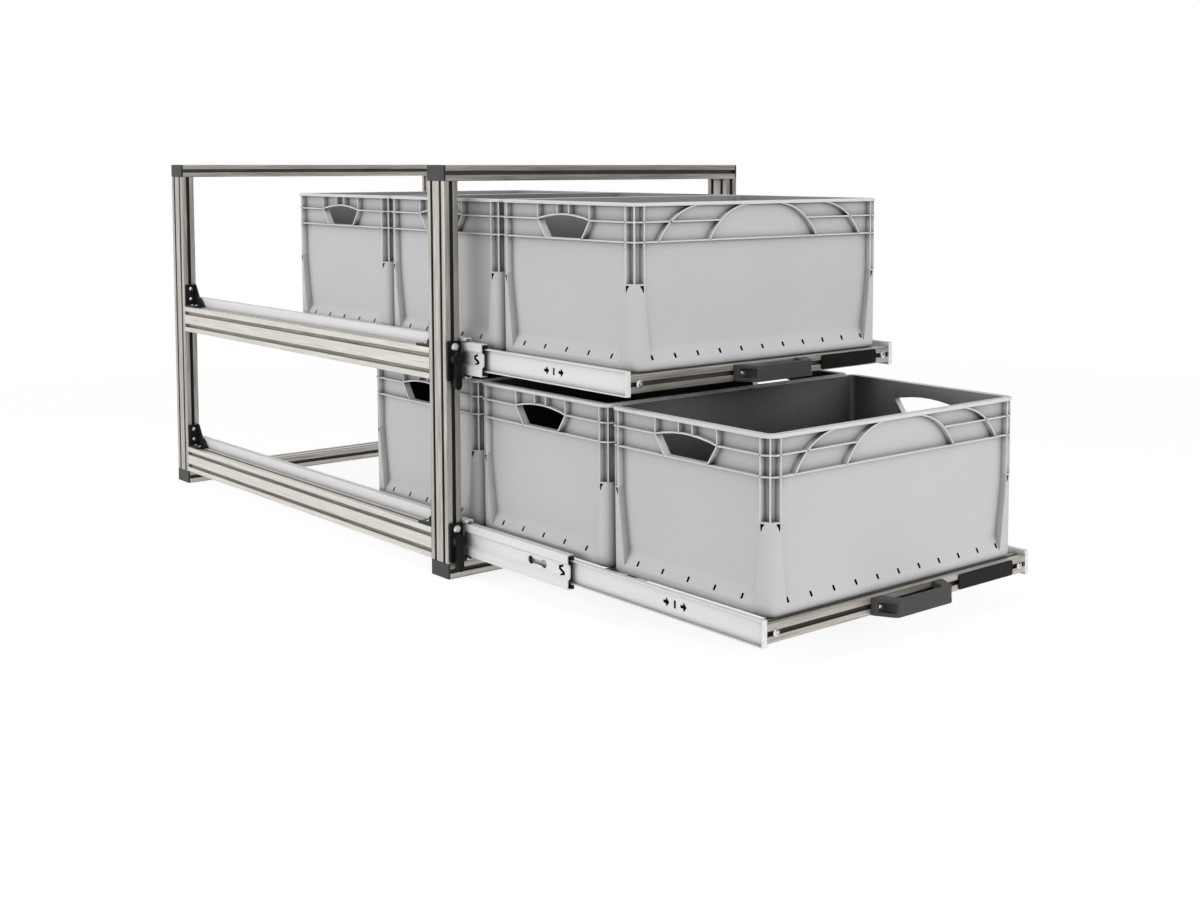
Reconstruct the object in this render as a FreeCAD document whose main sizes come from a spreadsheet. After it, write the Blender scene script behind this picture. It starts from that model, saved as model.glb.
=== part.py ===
import FreeCAD, Part
import os
import re
import Sketcher

# Two-tier pull-out cabinet rack. X is the width, -Y the side that the drawers open to, Z up.
# The origin is the middle of the front base rail's underside. Millimetres.

doc = FreeCAD.newDocument("PullOutCabinetRack")
sheet = doc.addObject("Spreadsheet::Sheet", "Sizes")

SIZES = [
    # frame of slotted profile
    ("frame_depth", 1250), ("frame_height", 778), ("tier_pitch", 344),
    ("profile_wide", 60), ("profile_narrow", 30),
    ("slot_opening", 8.2), ("slot_lip", 2.2), ("slot_cavity", 16.5), ("slot_straight", 4.6),
    ("slot_depth", 9), ("slot_floor", 8),
    ("hollow_wide", 9), ("hollow_tall", 22), ("cap_thick", 4), ("cap_inset", 0.5),
    # corner brackets between posts and side rails
    ("bracket_wide", 25), ("bracket_rise", 53), ("bracket_reach", 51), ("bracket_plate", 4),
    # telescopic slides: height of their centre over the side rail's underside, then the three members
    ("slide_centre", 43.5), ("slide_length", 1200), ("slide_depth", 20),
    ("outer_tall", 76), ("outer_plate", 2.2), ("outer_reach", 14), ("outer_lip", 5), ("outer_nose", 13),
    ("middle_tall", 61), ("middle_plate", 2), ("middle_gap", 1), ("middle_reach", 13.3),
    ("middle_lip", 3.5), ("middle_short", 40), ("band_flat", 20), ("band_edge", 30), ("band_sink", 5),
    ("inner_tall", 43), ("inner_plate", 2), ("inner_reach", 9.5), ("inner_end", 2.5),
    ("cage_wide", 5.4), ("cage_length", 420), ("cage_nose", 5), ("cage_clear", 0.3),
    ("key_slot_long", 41), ("key_slot_wide", 9), ("key_bulb", 15), ("key_back", 97),
    ("hook_back", 15), ("hook_long", 16), ("hook_half", 10), ("hook_line", 4),
    ("arrow_back", 192), ("arrow_pitch", 21.5), ("arrow_long", 14), ("arrow_half", 6.5),
    ("arrow_slot_tall", 12), ("arrow_slot_wide", 4),
    # how far the members stand out in the pose that the drawers rest in
    ("upper_middle_out", 63), ("upper_drawer_out", 484),
    ("lower_middle_out", 327), ("lower_drawer_out", 812),
    ("closed_front", 5),
    # drawer bars, angles, badge plate and handle
    ("bar_size", 30), ("bar_drop", 1.5),
    ("angle_leg", 26), ("angle_plate", 3), ("angle_tall", 24),
    ("badge_long", 146), ("badge_tall", 26), ("badge_thick", 2.5), ("badge_from_end", 111),
    ("badge_corner", 2),
    ("handle_foot_half", 87), ("handle_grip_half", 66), ("handle_out", 42), ("handle_tall", 29),
    ("handle_grip_thick", 9), ("handle_foot_wide", 24), ("handle_pocket_tall", 17),
    ("handle_pocket_deep", 28), ("handle_pocket_skin", 4), ("handle_screw_inset", 13),
    # stacking box
    ("box_long", 600), ("box_short", 400), ("box_tall", 284), ("box_gap", 2), ("box_set_back", 10),
    ("box_side_room", 15), ("box_seat", 0.3), ("box_floor", 3.5), ("box_wall", 2.5),
    ("panel_inset", 16), ("rib_inset", 2), ("base_inset", 3.5), ("sole_inset", 8), ("sole_bevel", 7),
    ("ledge_low", 15), ("ledge_top", 38),
    ("rim_tall", 6), ("rib_thick", 2.4), ("mid_rib_drop", 33.5), ("low_rib_drop", 67),
    ("foot_top_drop", 135), ("foot_narrow", 24), ("foot_broad", 36), ("box_corner", 14),
    ("arch_radius", 110), ("arch_drop", 115), ("outer_arch", 145), ("inner_arch", 31.5),
    ("side_rib_near", 17), ("side_rib_far", 76),
    ("grip_top_half", 74.8), ("grip_low_half", 51.8), ("grip_crown", 9),
    # turning locks on the left front post
    ("lock_tall", 74), ("lock_thick", 7), ("lock_low", 2.5),
    ("hub_height", 44), ("hub_diameter", 24), ("lever_thick", 14), ("arm_wide", 13), ("arm_long", 58),
    ("collar_diameter", 28), ("collar_thick", 1.2), ("pivot_diameter", 8), ("pivot_clearance", 0.05),
    ("pivot_into_hub", 9), ("lock_gap", 0.3),
]

for row, (alias, value) in enumerate(SIZES, start=1):
    sheet.set(f"A{row}", alias)
    sheet.set(f"B{row}", str(value))
    sheet.setAlias(f"B{row}", alias)
doc.recompute()

ALIASES = {alias for alias, value in SIZES}

# Places that several pieces share, in words of the sheet
BAR_HALF = "(box_long / 2 + box_side_room)"
RAIL_INNER_X = f"({BAR_HALF} + slide_depth)"
POST_X = f"({RAIL_INNER_X} + profile_narrow / 2)"
FRAME_HALF = f"({RAIL_INNER_X} + profile_narrow)"
FRONT_FACE = "(0 - profile_wide / 2)"
REAR_RAIL_Y = "(frame_depth - profile_wide)"
SIDE_RAIL_LONG = "(frame_depth - 2 * profile_wide)"
CLOSED_Y = f"({FRONT_FACE} - closed_front)"
SLIDE_Z = "(profile_narrow + slide_centre)"
BAR_Z = f"({SLIDE_Z} - bar_drop)"
BOX_Z = f"({BAR_Z} + bar_size / 2 + box_seat)"
BOX_PITCH = "(box_short + box_gap)"
ARCH_CENTRE_Z = "(box_tall - arch_drop)"
MIDDLE_X = "(outer_plate + middle_gap)"
LOCK_PIVOT_Z = "(profile_narrow + hub_height)"

X_RAIL_TURN = FreeCAD.Rotation(FreeCAD.Vector(1, 1, 1), 120)
Y_RAIL_TURN = FreeCAD.Rotation(FreeCAD.Vector(1, 1, 1), 240)
POST_TURN = FreeCAD.Rotation(FreeCAD.Vector(0, 0, 1), 90)
STAND_TURN = FreeCAD.Rotation(FreeCAD.Vector(1, 0, 0), 90)
NO_TURN = FreeCAD.Rotation()

TIERS = {
    "lower": {"rise": "0", "middle_out": "lower_middle_out", "drawer_out": "lower_drawer_out"},
    "upper": {"rise": "tier_pitch", "middle_out": "upper_middle_out", "drawer_out": "upper_drawer_out"},
}
SIDES = ("left", "right")
# Parts of an arch's height that turn it by even steps
ARCH_PARTS = (0, 0.383, 0.707, 0.924, 1)

nodes = {}


def bound(text):
    """The expression with each of the sheet's words made a reference to its cell."""
    return re.sub(r"[a-z][a-z_]*", lambda m: "Sizes." + m[0] if m[0] in ALIASES else m[0], str(text))


def number(text):
    """The value that an expression has now."""
    return float(sheet.evalExpression(bound(text)))


def place(piece, x="0", y="0", z="0", turn=NO_TURN):
    """Turns a piece and binds its place to the sheet."""
    piece.Placement = FreeCAD.Placement(FreeCAD.Vector(), turn)
    for axis, text in zip("xyz", (x, y, z)):
        piece.setExpression(f"Placement.Base.{axis}", bound(text))
    return piece


def sketch(name):
    return doc.addObject("Sketcher::SketchObject", name)


def bind_last(drawing, first, texts):
    for offset, text in enumerate(texts):
        drawing.setExpression(f"Constraints[{first + offset}]", bound(text))


def outline(drawing, corners):
    """A closed outline of straight edges, each corner held at its own x and y from the origin."""
    spots = [FreeCAD.Vector(number(x), number(y), 0) for x, y in corners]
    count = len(spots)
    start = drawing.GeometryCount
    drawing.addGeometry([Part.LineSegment(spots[i], spots[(i + 1) % count]) for i in range(count)], False)
    drawing.addConstraint([Sketcher.Constraint("Coincident", start + i, 2, start + (i + 1) % count, 1)
                           for i in range(count)])
    first = drawing.ConstraintCount
    held = []
    for i, spot in enumerate(spots):
        held.append(Sketcher.Constraint("DistanceX", -1, 1, start + i, 1, spot.x))
        held.append(Sketcher.Constraint("DistanceY", -1, 1, start + i, 1, spot.y))
    drawing.addConstraint(held)
    bind_last(drawing, first, [text for corner in corners for text in corner])
    return drawing


def eight_sided(x, y, across):
    """The corners of a regular octagon, by its width across flats."""
    long, short = f"{across} / 2", f"{across} * 0.2071"
    turns = ((long, short), (short, long), (f"-1 * {short}", long), (f"-1 * {long}", short),
             (f"-1 * {long}", f"-1 * {short}"), (f"-1 * {short}", f"-1 * {long}"),
             (short, f"-1 * {long}"), (long, f"-1 * {short}"))
    return [(f"({x} + {dx})", f"({y} + {dy})") for dx, dy in turns]


def bevelled_rectangle(drawing, half_x, half_y, corner):
    """A rectangle about the origin, its corners cut at 45 degrees."""
    points = []
    for sx, sy in ((-1, -1), (1, -1), (1, 1), (-1, 1)):
        bevel = [(half_x, f"({half_y} - ({corner}))"), (f"({half_x} - ({corner}))", half_y)]
        for x, y in bevel if sx * sy > 0 else reversed(bevel):
            points.append((f"{sx} * {x}", f"{sy} * {y}"))
    return outline(drawing, points)


def arched_strip(drawing, centre_x, centre_z, thickness, low, high, side):
    """A curved rib between two heights: straight pieces between points on two circles about one centre."""
    levels = [f"({low} + ({high} - {low}) * {part})" for part in ARCH_PARTS]
    bows = []
    for radius in ("arch_radius", f"(arch_radius + {thickness})"):
        bows.append([(f"({centre_x} + {side} * sqrt({radius}^2 - ({level} - {centre_z})^2))", level)
                     for level in levels])
    inner, outer = bows
    return outline(drawing, inner + outer[::-1])


def extrusion(name, drawing, length):
    """A prism on a sketch, along the sketch's normal."""
    solid = doc.addObject("Part::Extrusion", name)
    solid.Base = drawing
    solid.DirMode = "Normal"
    solid.Solid = True
    solid.setExpression("LengthFwd", bound(length))
    return solid


def block(name, long_x, long_y, long_z, x, y, z):
    """A box by its three lengths and its lowest corner."""
    solid = doc.addObject("Part::Box", name)
    for side, text in (("Length", long_x), ("Width", long_y), ("Height", long_z)):
        solid.setExpression(side, bound(text))
    return place(solid, x, y, z)


def rod(name, diameter, length, x, y, z, turn=NO_TURN):
    """A cylinder by its diameter, length and the middle of its first end."""
    solid = doc.addObject("Part::Cylinder", name)
    solid.setExpression("Radius", bound(f"({diameter}) / 2"))
    solid.setExpression("Height", bound(length))
    return place(solid, x, y, z, turn)


def fused(name, pieces):
    solid = doc.addObject("Part::MultiFuse", name)
    solid.Shapes = pieces
    solid.Refine = True
    return solid


def cut(name, base, tool):
    solid = doc.addObject("Part::Cut", name)
    solid.Base = base
    solid.Tool = tool
    return solid


def group(name, pieces):
    """Separate solids kept as one piece."""
    together = doc.addObject("Part::Compound", name)
    together.Links = pieces
    return together


def mirrored(name, source):
    """The same piece on the other side of the middle plane X = 0."""
    other = doc.addObject("Part::Mirroring", name)
    other.Source = source
    other.Normal = FreeCAD.Vector(1, 0, 0)
    return other


def node(name, piece):
    piece.Label = name
    nodes[name] = piece
    return piece


def copy_of(name, source, x="0", y="0", z="0"):
    """A sub-part that repeats a form at its own place."""
    return node(name, place(group(name, [source]), x, y, z))


def slot_corners(along, face, inward):
    """The T-slot's corners as (distance along the face, depth) pairs, from one lip to the other."""
    return [
        (f"({along} - slot_opening / 2)", face),
        (f"({along} - slot_opening / 2)", f"({face} {inward} slot_lip)"),
        (f"({along} - slot_cavity / 2)", f"({face} {inward} slot_lip)"),
        (f"({along} - slot_cavity / 2)", f"({face} {inward} slot_straight)"),
        (f"({along} - slot_floor / 2)", f"({face} {inward} slot_depth)"),
        (f"({along} + slot_floor / 2)", f"({face} {inward} slot_depth)"),
        (f"({along} + slot_cavity / 2)", f"({face} {inward} slot_straight)"),
        (f"({along} + slot_cavity / 2)", f"({face} {inward} slot_lip)"),
        (f"({along} + slot_opening / 2)", f"({face} {inward} slot_lip)"),
        (f"({along} + slot_opening / 2)", face),
    ]


def slotted_section(name, half_x, half_y, slots_x):
    """A slotted profile's section: one slot on each short side, and one at each place in slots_x."""
    low, high = f"(0 - {half_y})", half_y
    left, right = f"(0 - {half_x})", half_x
    corners = [(left, low)]
    for along in slots_x:
        corners += slot_corners(along, low, "+")
    corners.append((right, low))
    corners += [(depth, along) for along, depth in slot_corners("0", right, "-")]
    corners.append((right, high))
    for along in reversed(slots_x):
        corners += reversed(slot_corners(along, high, "-"))
    corners.append((left, high))
    corners += reversed([(depth, along) for along, depth in slot_corners("0", left, "+")])
    return outline(sketch(name), corners)


def frame_profile_section():
    """The wide profile: two slots on each wide side, a hollow through its middle."""
    cells = ("(0 - profile_wide / 4)", "(profile_wide / 4)")
    drawing = slotted_section("wide_profile", "(profile_wide / 2)", "(profile_narrow / 2)", cells)
    hollow = [(f"{sx} * hollow_wide / 2", f"{sy} * hollow_tall / 2")
              for sx, sy in ((-1, -1), (1, -1), (1, 1), (-1, 1))]
    return outline(drawing, hollow)


def make_frame_bars():
    """Four posts, four cross rails over and under them, four side rails between them."""
    section = frame_profile_section()
    post_long = "(frame_height - 2 * profile_narrow)"
    for side, sign in (("left", "-1"), ("right", "1")):
        for end, y in (("front", "0"), ("rear", REAR_RAIL_Y)):
            post = node(f"{end}_{side}_post", extrusion(f"{end}_{side}_post", section, post_long))
            place(post, f"{sign} * {POST_X}", y, "profile_narrow", POST_TURN)
        for tier, facts in TIERS.items():
            name = f"{tier}_{side}_side_rail"
            rail = node(name, extrusion(name, section, SIDE_RAIL_LONG))
            height = f"{facts['rise']} + profile_narrow + profile_wide / 2"
            place(rail, f"{sign} * {POST_X}", "profile_wide / 2", height, Y_RAIL_TURN)
    for level, z in (("base", "profile_narrow / 2"), ("top", "frame_height - profile_narrow / 2")):
        for end, y in (("front", "0"), ("rear", REAR_RAIL_Y)):
            name = f"{level}_{end}_rail"
            rail = node(name, extrusion(name, section, f"2 * ({FRAME_HALF} - cap_thick)"))
            place(rail, f"cap_thick - {FRAME_HALF}", y, z, X_RAIL_TURN)


def make_rail_end_caps():
    """Plastic caps that close the ends of the cross rails."""
    caps = []
    for z in ("0", "frame_height - profile_narrow"):
        for y in ("0", REAR_RAIL_Y):
            for x in (f"0 - {FRAME_HALF}", f"{FRAME_HALF} - cap_thick"):
                caps.append(block(f"cap_{len(caps)}", "cap_thick", "profile_wide - 2 * cap_inset",
                                  "profile_narrow - 2 * cap_inset", x,
                                  f"{y} - profile_wide / 2 + cap_inset", f"{z} + cap_inset"))
    node("rail_end_caps", group("rail_end_caps", caps))


def make_corner_bracket():
    """An angle with one gusset, its corner at the origin: it rises along Z and reaches along Y."""
    angle = outline(sketch("bracket_angle"), [
        ("0", "0"), ("bracket_reach", "0"), ("bracket_reach", "bracket_plate"),
        ("bracket_plate", "bracket_plate"), ("bracket_plate", "bracket_rise"), ("0", "bracket_rise"),
    ])
    gusset = outline(sketch("bracket_gusset"), [
        ("0", "0"), ("bracket_reach", "0"), ("bracket_reach", "bracket_plate"),
        ("bracket_reach * 0.55", "bracket_rise * 0.42"), ("bracket_plate * 2", "bracket_rise"),
        ("0", "bracket_rise"),
    ])
    plates = place(extrusion("bracket_plates", angle, "bracket_wide"), "0 - bracket_wide / 2", "0", "0",
                   X_RAIL_TURN)
    web = place(extrusion("bracket_web", gusset, "bracket_plate * 0.75"),
                "bracket_wide / 2 - bracket_plate * 0.75", "0", "0", X_RAIL_TURN)
    return fused("bracket_form", [plates, web])


def make_brackets():
    """A bracket on each end of each side rail, its gusset on the inner side."""
    front_form = make_corner_bracket()
    rear_form = doc.addObject("Part::Mirroring", "rear_bracket_form")
    rear_form.Source = front_form
    rear_form.Normal = FreeCAD.Vector(0, 1, 0)
    brackets = []
    for tier, facts in TIERS.items():
        height = f"{facts['rise']} + profile_narrow + profile_wide"
        front = place(group(f"{tier}_front_bracket", [front_form]), f"0 - {POST_X}", "profile_wide / 2",
                      height)
        rear = place(group(f"{tier}_rear_bracket", [rear_form]), f"0 - {POST_X}",
                     f"{REAR_RAIL_Y} - profile_wide / 2", height)
        left = group(f"{tier}_left_brackets", [front, rear])
        brackets += [left, mirrored(f"{tier}_right_brackets", left)]
    node("corner_brackets", group("corner_brackets", brackets))


def channel_corners(tall, plate, back, reach, lip):
    """A channel's section with turned-in lips, open towards +X, as (x, z) pairs."""
    half = f"({tall} / 2)"
    upper = [
        (f"({back} + {plate})", f"({half} - {plate})"),
        (f"({reach} - {plate})", f"({half} - {plate})"),
        (f"({reach} - {plate})", f"({half} - {lip})"),
        (reach, f"({half} - {lip})"),
        (reach, half),
        (back, half),
    ]
    lower = [(x, f"(0 - {z})") for x, z in reversed(upper)]
    return lower, upper


def slide_member(name, corners, length):
    """A straight member of the left slide: its section faces right, its front end is at Y = 0."""
    drawing = outline(sketch(f"{name}_section"), corners)
    return place(extrusion(f"{name}_bar", drawing, length), "0", length, "0", STAND_TURN)


def outer_form():
    lower, upper = channel_corners("outer_tall", "outer_plate", "0", "outer_reach", "outer_lip")
    channel = slide_member("outer", lower + upper, "slide_length + outer_nose")
    notch = block("outer_notch", "outer_reach", "outer_nose", "outer_tall - 2 * outer_lip", "0", "0",
                  "outer_lip - outer_tall / 2")
    return cut("outer_form", channel, notch)


def key_slot_corners():
    """A long slot with a broad eye at each end, as (y, z) pairs."""
    neck = "(key_slot_wide / 2)"
    half = []
    for sign in (1, -1):
        eye = f"(key_back + {sign} * key_slot_long / 2)"
        ring = eight_sided(eye, "0", "key_bulb")
        half.append(ring if sign > 0 else ring[4:] + ring[:4])
    far, near = half
    return [(f"(key_back + key_slot_long / 2 - key_bulb / 2)", f"(0 - {neck})")] + far[5:] + far[:3] + [
        (f"(key_back + key_slot_long / 2 - key_bulb / 2)", neck),
        (f"(key_back - key_slot_long / 2 + key_bulb / 2)", neck)] + near[5:] + near[:3] + [
        (f"(key_back - key_slot_long / 2 + key_bulb / 2)", f"(0 - {neck})")]


def middle_form():
    lower, upper = channel_corners("middle_tall", "middle_plate", MIDDLE_X, f"({MIDDLE_X} + middle_reach)",
                                   "middle_lip")
    sunk = f"({MIDDLE_X} + band_sink)"
    inside = [(f"({MIDDLE_X} + middle_plate)", "band_edge / 2"),
              (f"({sunk} + middle_plate)", "band_flat / 2")]
    outside = [(sunk, "(band_flat / 2 + middle_plate * 0.4)"),
               (MIDDLE_X, "(band_edge / 2 + middle_plate * 0.4)")]
    band_in = [(x, f"(0 - {z})") for x, z in inside] + list(reversed(inside))
    band_out = list(reversed(outside)) + [(x, f"(0 - {z})") for x, z in outside]
    channel = slide_member("middle", lower + band_in + upper + band_out, "slide_length - middle_short")
    near, far = "hook_back", "(hook_back + hook_long)"
    near_in, far_in = "(hook_back + hook_line)", "(hook_back + hook_long - hook_line)"
    hook = outline(sketch("hook_outline"), [
        (near_in, "hook_half"), (far, "hook_half * 0.6"), (far, "hook_half * 0.1"),
        (near_in, "0 - hook_half * 0.5"), (far_in, "0 - hook_half * 0.8"), (far_in, "0 - hook_half"),
        (near, "0 - hook_half * 0.7"), (near, "0 - hook_half * 0.3"), (far_in, "hook_half * 0.3"),
        (far_in, "hook_half * 0.5"), (near_in, "hook_half * 0.75"),
    ])
    holes = [extrusion("hook_cut", hook, "slide_depth"),
             extrusion("key_cut", outline(sketch("key_outline"), key_slot_corners()), "slide_depth")]
    cutters = group("middle_cutters", [place(hole, turn=X_RAIL_TURN) for hole in holes])
    return cut("middle_form", channel, cutters)


def arrow_corners(middle):
    """A short arrow that points to the front: a triangular head and a square shaft."""
    tip = f"({middle} - arrow_long / 2)"
    neck = middle
    tail = f"({middle} + arrow_long / 2)"
    return [
        (tip, "0"), (neck, "arrow_half"), (neck, "arrow_half / 3"), (tail, "arrow_half / 3"),
        (tail, "0 - arrow_half / 3"), (neck, "0 - arrow_half / 3"), (neck, "0 - arrow_half"),
    ]


def inner_form():
    web = "(slide_depth - inner_plate)"
    tip = "(slide_depth - inner_reach)"
    half = "(inner_tall / 2)"
    upper = [
        (web, f"({half} - inner_plate)"), (tip, f"({half} - inner_plate)"), (tip, half),
        ("slide_depth", half),
    ]
    corners = [(x, f"(0 - {z})") for x, z in reversed(upper)] + upper
    channel = slide_member("inner", corners, "slide_length")
    end_plate = block("inner_end_plate", f"{web} - {tip}", "inner_end", "inner_tall - 2 * inner_plate", tip,
                      "0", "inner_plate - inner_tall / 2")
    marks = sketch("inner_marks")
    outline(marks, arrow_corners("arrow_back"))
    outline(marks, arrow_corners("(arrow_back + 2 * arrow_pitch)"))
    slot_middle = "(arrow_back + arrow_pitch)"
    outline(marks, [(f"({slot_middle} + {sx} * arrow_slot_wide / 2)", f"{sz} * arrow_slot_tall / 2")
                    for sx, sz in ((-1, -1), (1, -1), (1, 1), (-1, 1))])
    holes = place(extrusion("inner_marks_cut", marks, "slide_depth"), "0", "0", "0", X_RAIL_TURN)
    return cut("inner_form", fused("inner_solid", [channel, end_plate]), holes)


def cage_form():
    """Ball cages between the members: the outer pair at the middle member's rear, the inner at its front."""
    strips = []
    spare = "(outer_tall / 2 - outer_plate - middle_tall / 2 - cage_clear)"
    inner_spare = "(middle_tall / 2 - middle_plate - inner_tall / 2 - cage_clear)"
    rear_y = "(slide_length - middle_short - cage_length - 2 * cage_nose)"
    outer_x = f"({MIDDLE_X} + middle_plate)"
    inner_x = f"({MIDDLE_X} + middle_reach - middle_plate - cage_wide - cage_clear)"
    for kind, x, y, tall, low in (
        ("outer_low", outer_x, rear_y, spare, f"(0 - middle_tall / 2 - {spare})"),
        ("outer_high", outer_x, rear_y, spare, "(middle_tall / 2)"),
        ("inner_low", inner_x, "(0 - cage_nose)", inner_spare, "(middle_plate - middle_tall / 2)"),
        ("inner_high", inner_x, "(0 - cage_nose)", inner_spare,
         f"(middle_tall / 2 - middle_plate - {inner_spare})"),
    ):
        strips.append(block(f"{kind}_cage", "cage_wide", "cage_length", tall, x, y, low))
    return group("cage_form", strips)


def make_slides():
    """The left slide's members, copied to both tiers and mirrored to the right side."""
    forms = {"outer": outer_form(), "middle": middle_form(), "inner": inner_form(), "cages": cage_form()}
    left_x = f"0 - {RAIL_INNER_X}"
    members = {}
    for kind, form in forms.items():
        left = place(group(f"left_{kind}_closed", [form]), left_x, CLOSED_Y, SLIDE_Z)
        members[kind] = {"left": left, "right": mirrored(f"right_{kind}_closed", left)}
    for tier, facts in TIERS.items():
        rise = facts["rise"]
        middle_y = f"0 - {facts['middle_out']}"
        drawer_y = f"0 - {facts['drawer_out']}"
        for side in SIDES:
            copy_of(f"{tier}_{side}_outer_slide", members["outer"][side], "0", "0 - outer_nose", rise)
            copy_of(f"{tier}_{side}_middle_slide", members["middle"][side], "0", middle_y, rise)
            copy_of(f"{tier}_{side}_ball_cages", members["cages"][side], "0", middle_y, rise)
            copy_of(f"{tier}_{side}_inner_slide", members["inner"][side], "0", drawer_y, rise)


def bar_form():
    """One bar of a drawer, slotted on every side."""
    half = "(bar_size / 2)"
    section = slotted_section("narrow_profile", half, half, ("0",))
    solid = extrusion("bar_form", section, f"2 * {BAR_HALF}")
    return place(solid, f"0 - {BAR_HALF}", half, "0", X_RAIL_TURN)


def angle_form():
    """The pair of angles in the corners between a bar and the slides."""
    leg = outline(sketch("angle_outline"), [
        ("0", "0"), ("angle_leg", "0"), ("angle_leg", "angle_plate"), ("angle_plate", "angle_plate"),
        ("angle_plate", "angle_leg"), ("0", "angle_leg"),
    ])
    left = place(extrusion("left_angle", leg, "angle_tall"), f"0 - {BAR_HALF}", "bar_size",
                 "0 - angle_tall / 2")
    return group("angle_form", [left, mirrored("right_angle", left)])


def handle_form():
    """A bow handle: trapezoid in plan, open behind, with a square pocket for a screw in each flank."""
    slant = "(handle_foot_half - handle_grip_half)"
    bow = outline(sketch("handle_plan"), [
        ("0 - handle_foot_half", "0"),
        ("0 - handle_grip_half", "0 - handle_out"),
        ("handle_grip_half", "0 - handle_out"),
        ("handle_foot_half", "0"),
        ("(handle_foot_half - handle_foot_wide)", "0"),
        (f"(handle_foot_half - handle_foot_wide - {slant} / 2)", "handle_grip_thick - handle_out"),
        (f"(0 - handle_foot_half + handle_foot_wide + {slant} / 2)", "handle_grip_thick - handle_out"),
        ("(0 - handle_foot_half + handle_foot_wide)", "0"),
    ])
    solid = place(extrusion("handle_solid", bow, "handle_tall"), "0", "0", "0 - handle_tall / 2")
    cutters = []
    for i, sign in enumerate((-1, 1)):
        middle = f"{sign} * (handle_foot_half - handle_screw_inset)"
        corner = f"{middle} - handle_pocket_tall / 2"
        cutters.append(block(f"handle_pocket_{i}", "handle_pocket_tall", "handle_pocket_deep",
                             "handle_pocket_tall", corner, "handle_pocket_skin - handle_out",
                             "0 - handle_pocket_tall / 2"))
    return cut("handle_form", solid, group("handle_cutters", cutters))


def badge_form():
    """A bare plate with bevelled corners on the front bar."""
    plan = bevelled_rectangle(sketch("badge_outline"), "(badge_long / 2)", "(badge_tall / 2)", "badge_corner")
    return place(extrusion("badge_solid", plan, "badge_thick"), f"{BAR_HALF} - badge_from_end", "0", "0",
                 STAND_TURN)


def make_drawers():
    """Per tier: four bars between the inner members, their angles, a handle and a plate."""
    bar = bar_form()
    angles, handle, badge = angle_form(), handle_form(), badge_form()
    last = "(slide_length - bar_size)"
    step = f"(box_set_back + {BOX_PITCH} - bar_size / 2)"
    seats = {"front": "0", "second": step, "third": f"({step} + {BOX_PITCH})", "rear": last}
    for tier, facts in TIERS.items():
        front = f"{CLOSED_Y} - {facts['drawer_out']}"
        height = f"{BAR_Z} + {facts['rise']}"
        fastened = []
        for seat, along in seats.items():
            copy_of(f"{tier}_{seat}_bar", bar, "0", f"{front} + {along}", height)
            pair = group(f"{tier}_{seat}_angles", [angles])
            fastened.append(place(pair, "0", f"{front} + {along}", height))
        node(f"{tier}_bar_angles", group(f"{tier}_bar_angles", fastened))
        copy_of(f"{tier}_handle", handle, "0", front, height)
        copy_of(f"{tier}_badge_plate", badge, "0", front, height)


def plan_outline(name, inset, corner):
    """The stacking box's plan, drawn in from its nominal size."""
    return bevelled_rectangle(sketch(name), f"(box_long / 2 - {inset})", f"(box_short / 2 - {inset})",
                              corner)


def slab(name, inset, corner, low, high):
    solid = extrusion(name, plan_outline(f"{name}_plan", inset, corner), f"{high} - {low}")
    return place(solid, "0", "0", low)


def flared(name, levels):
    """A loft through plans of the box at several heights; levels holds (inset, corner, height)."""
    plans = [place(plan_outline(f"{name}_plan_{i}", inset, corner), "0", "0", height)
             for i, (inset, corner, height) in enumerate(levels)]
    solid = doc.addObject("Part::Loft", name)
    solid.Sections = plans
    solid.Solid = True
    solid.Ruled = True
    return solid


def box_feet():
    """Four corner feet, broad at the floor and narrow where the corner ribs begin."""
    spans = []
    for axis, half in (("x", "box_long / 2"), ("y", "box_short / 2")):
        drawing = sketch(f"feet_seen_along_{axis}")
        for sign in (-1, 1):
            outline(drawing, [(f"{sign} * ({half} - {inset})", height) for inset, height in (
                ("base_inset", "sole_bevel"), ("base_inset", "box_tall - foot_top_drop"),
                ("(rib_inset + foot_narrow)", "box_tall - foot_top_drop"),
                ("(rib_inset + foot_broad)", "sole_bevel"),
            )])
        turn = STAND_TURN if axis == "x" else X_RAIL_TURN
        span = extrusion(f"feet_span_{axis}", drawing, "box_long")
        spans.append(place(span, "0" if axis == "x" else "0 - box_long / 2",
                           "box_long / 2" if axis == "x" else "0", "0", turn))
    feet = doc.addObject("Part::MultiCommon", "box_feet")
    feet.Shapes = spans
    return feet


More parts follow.
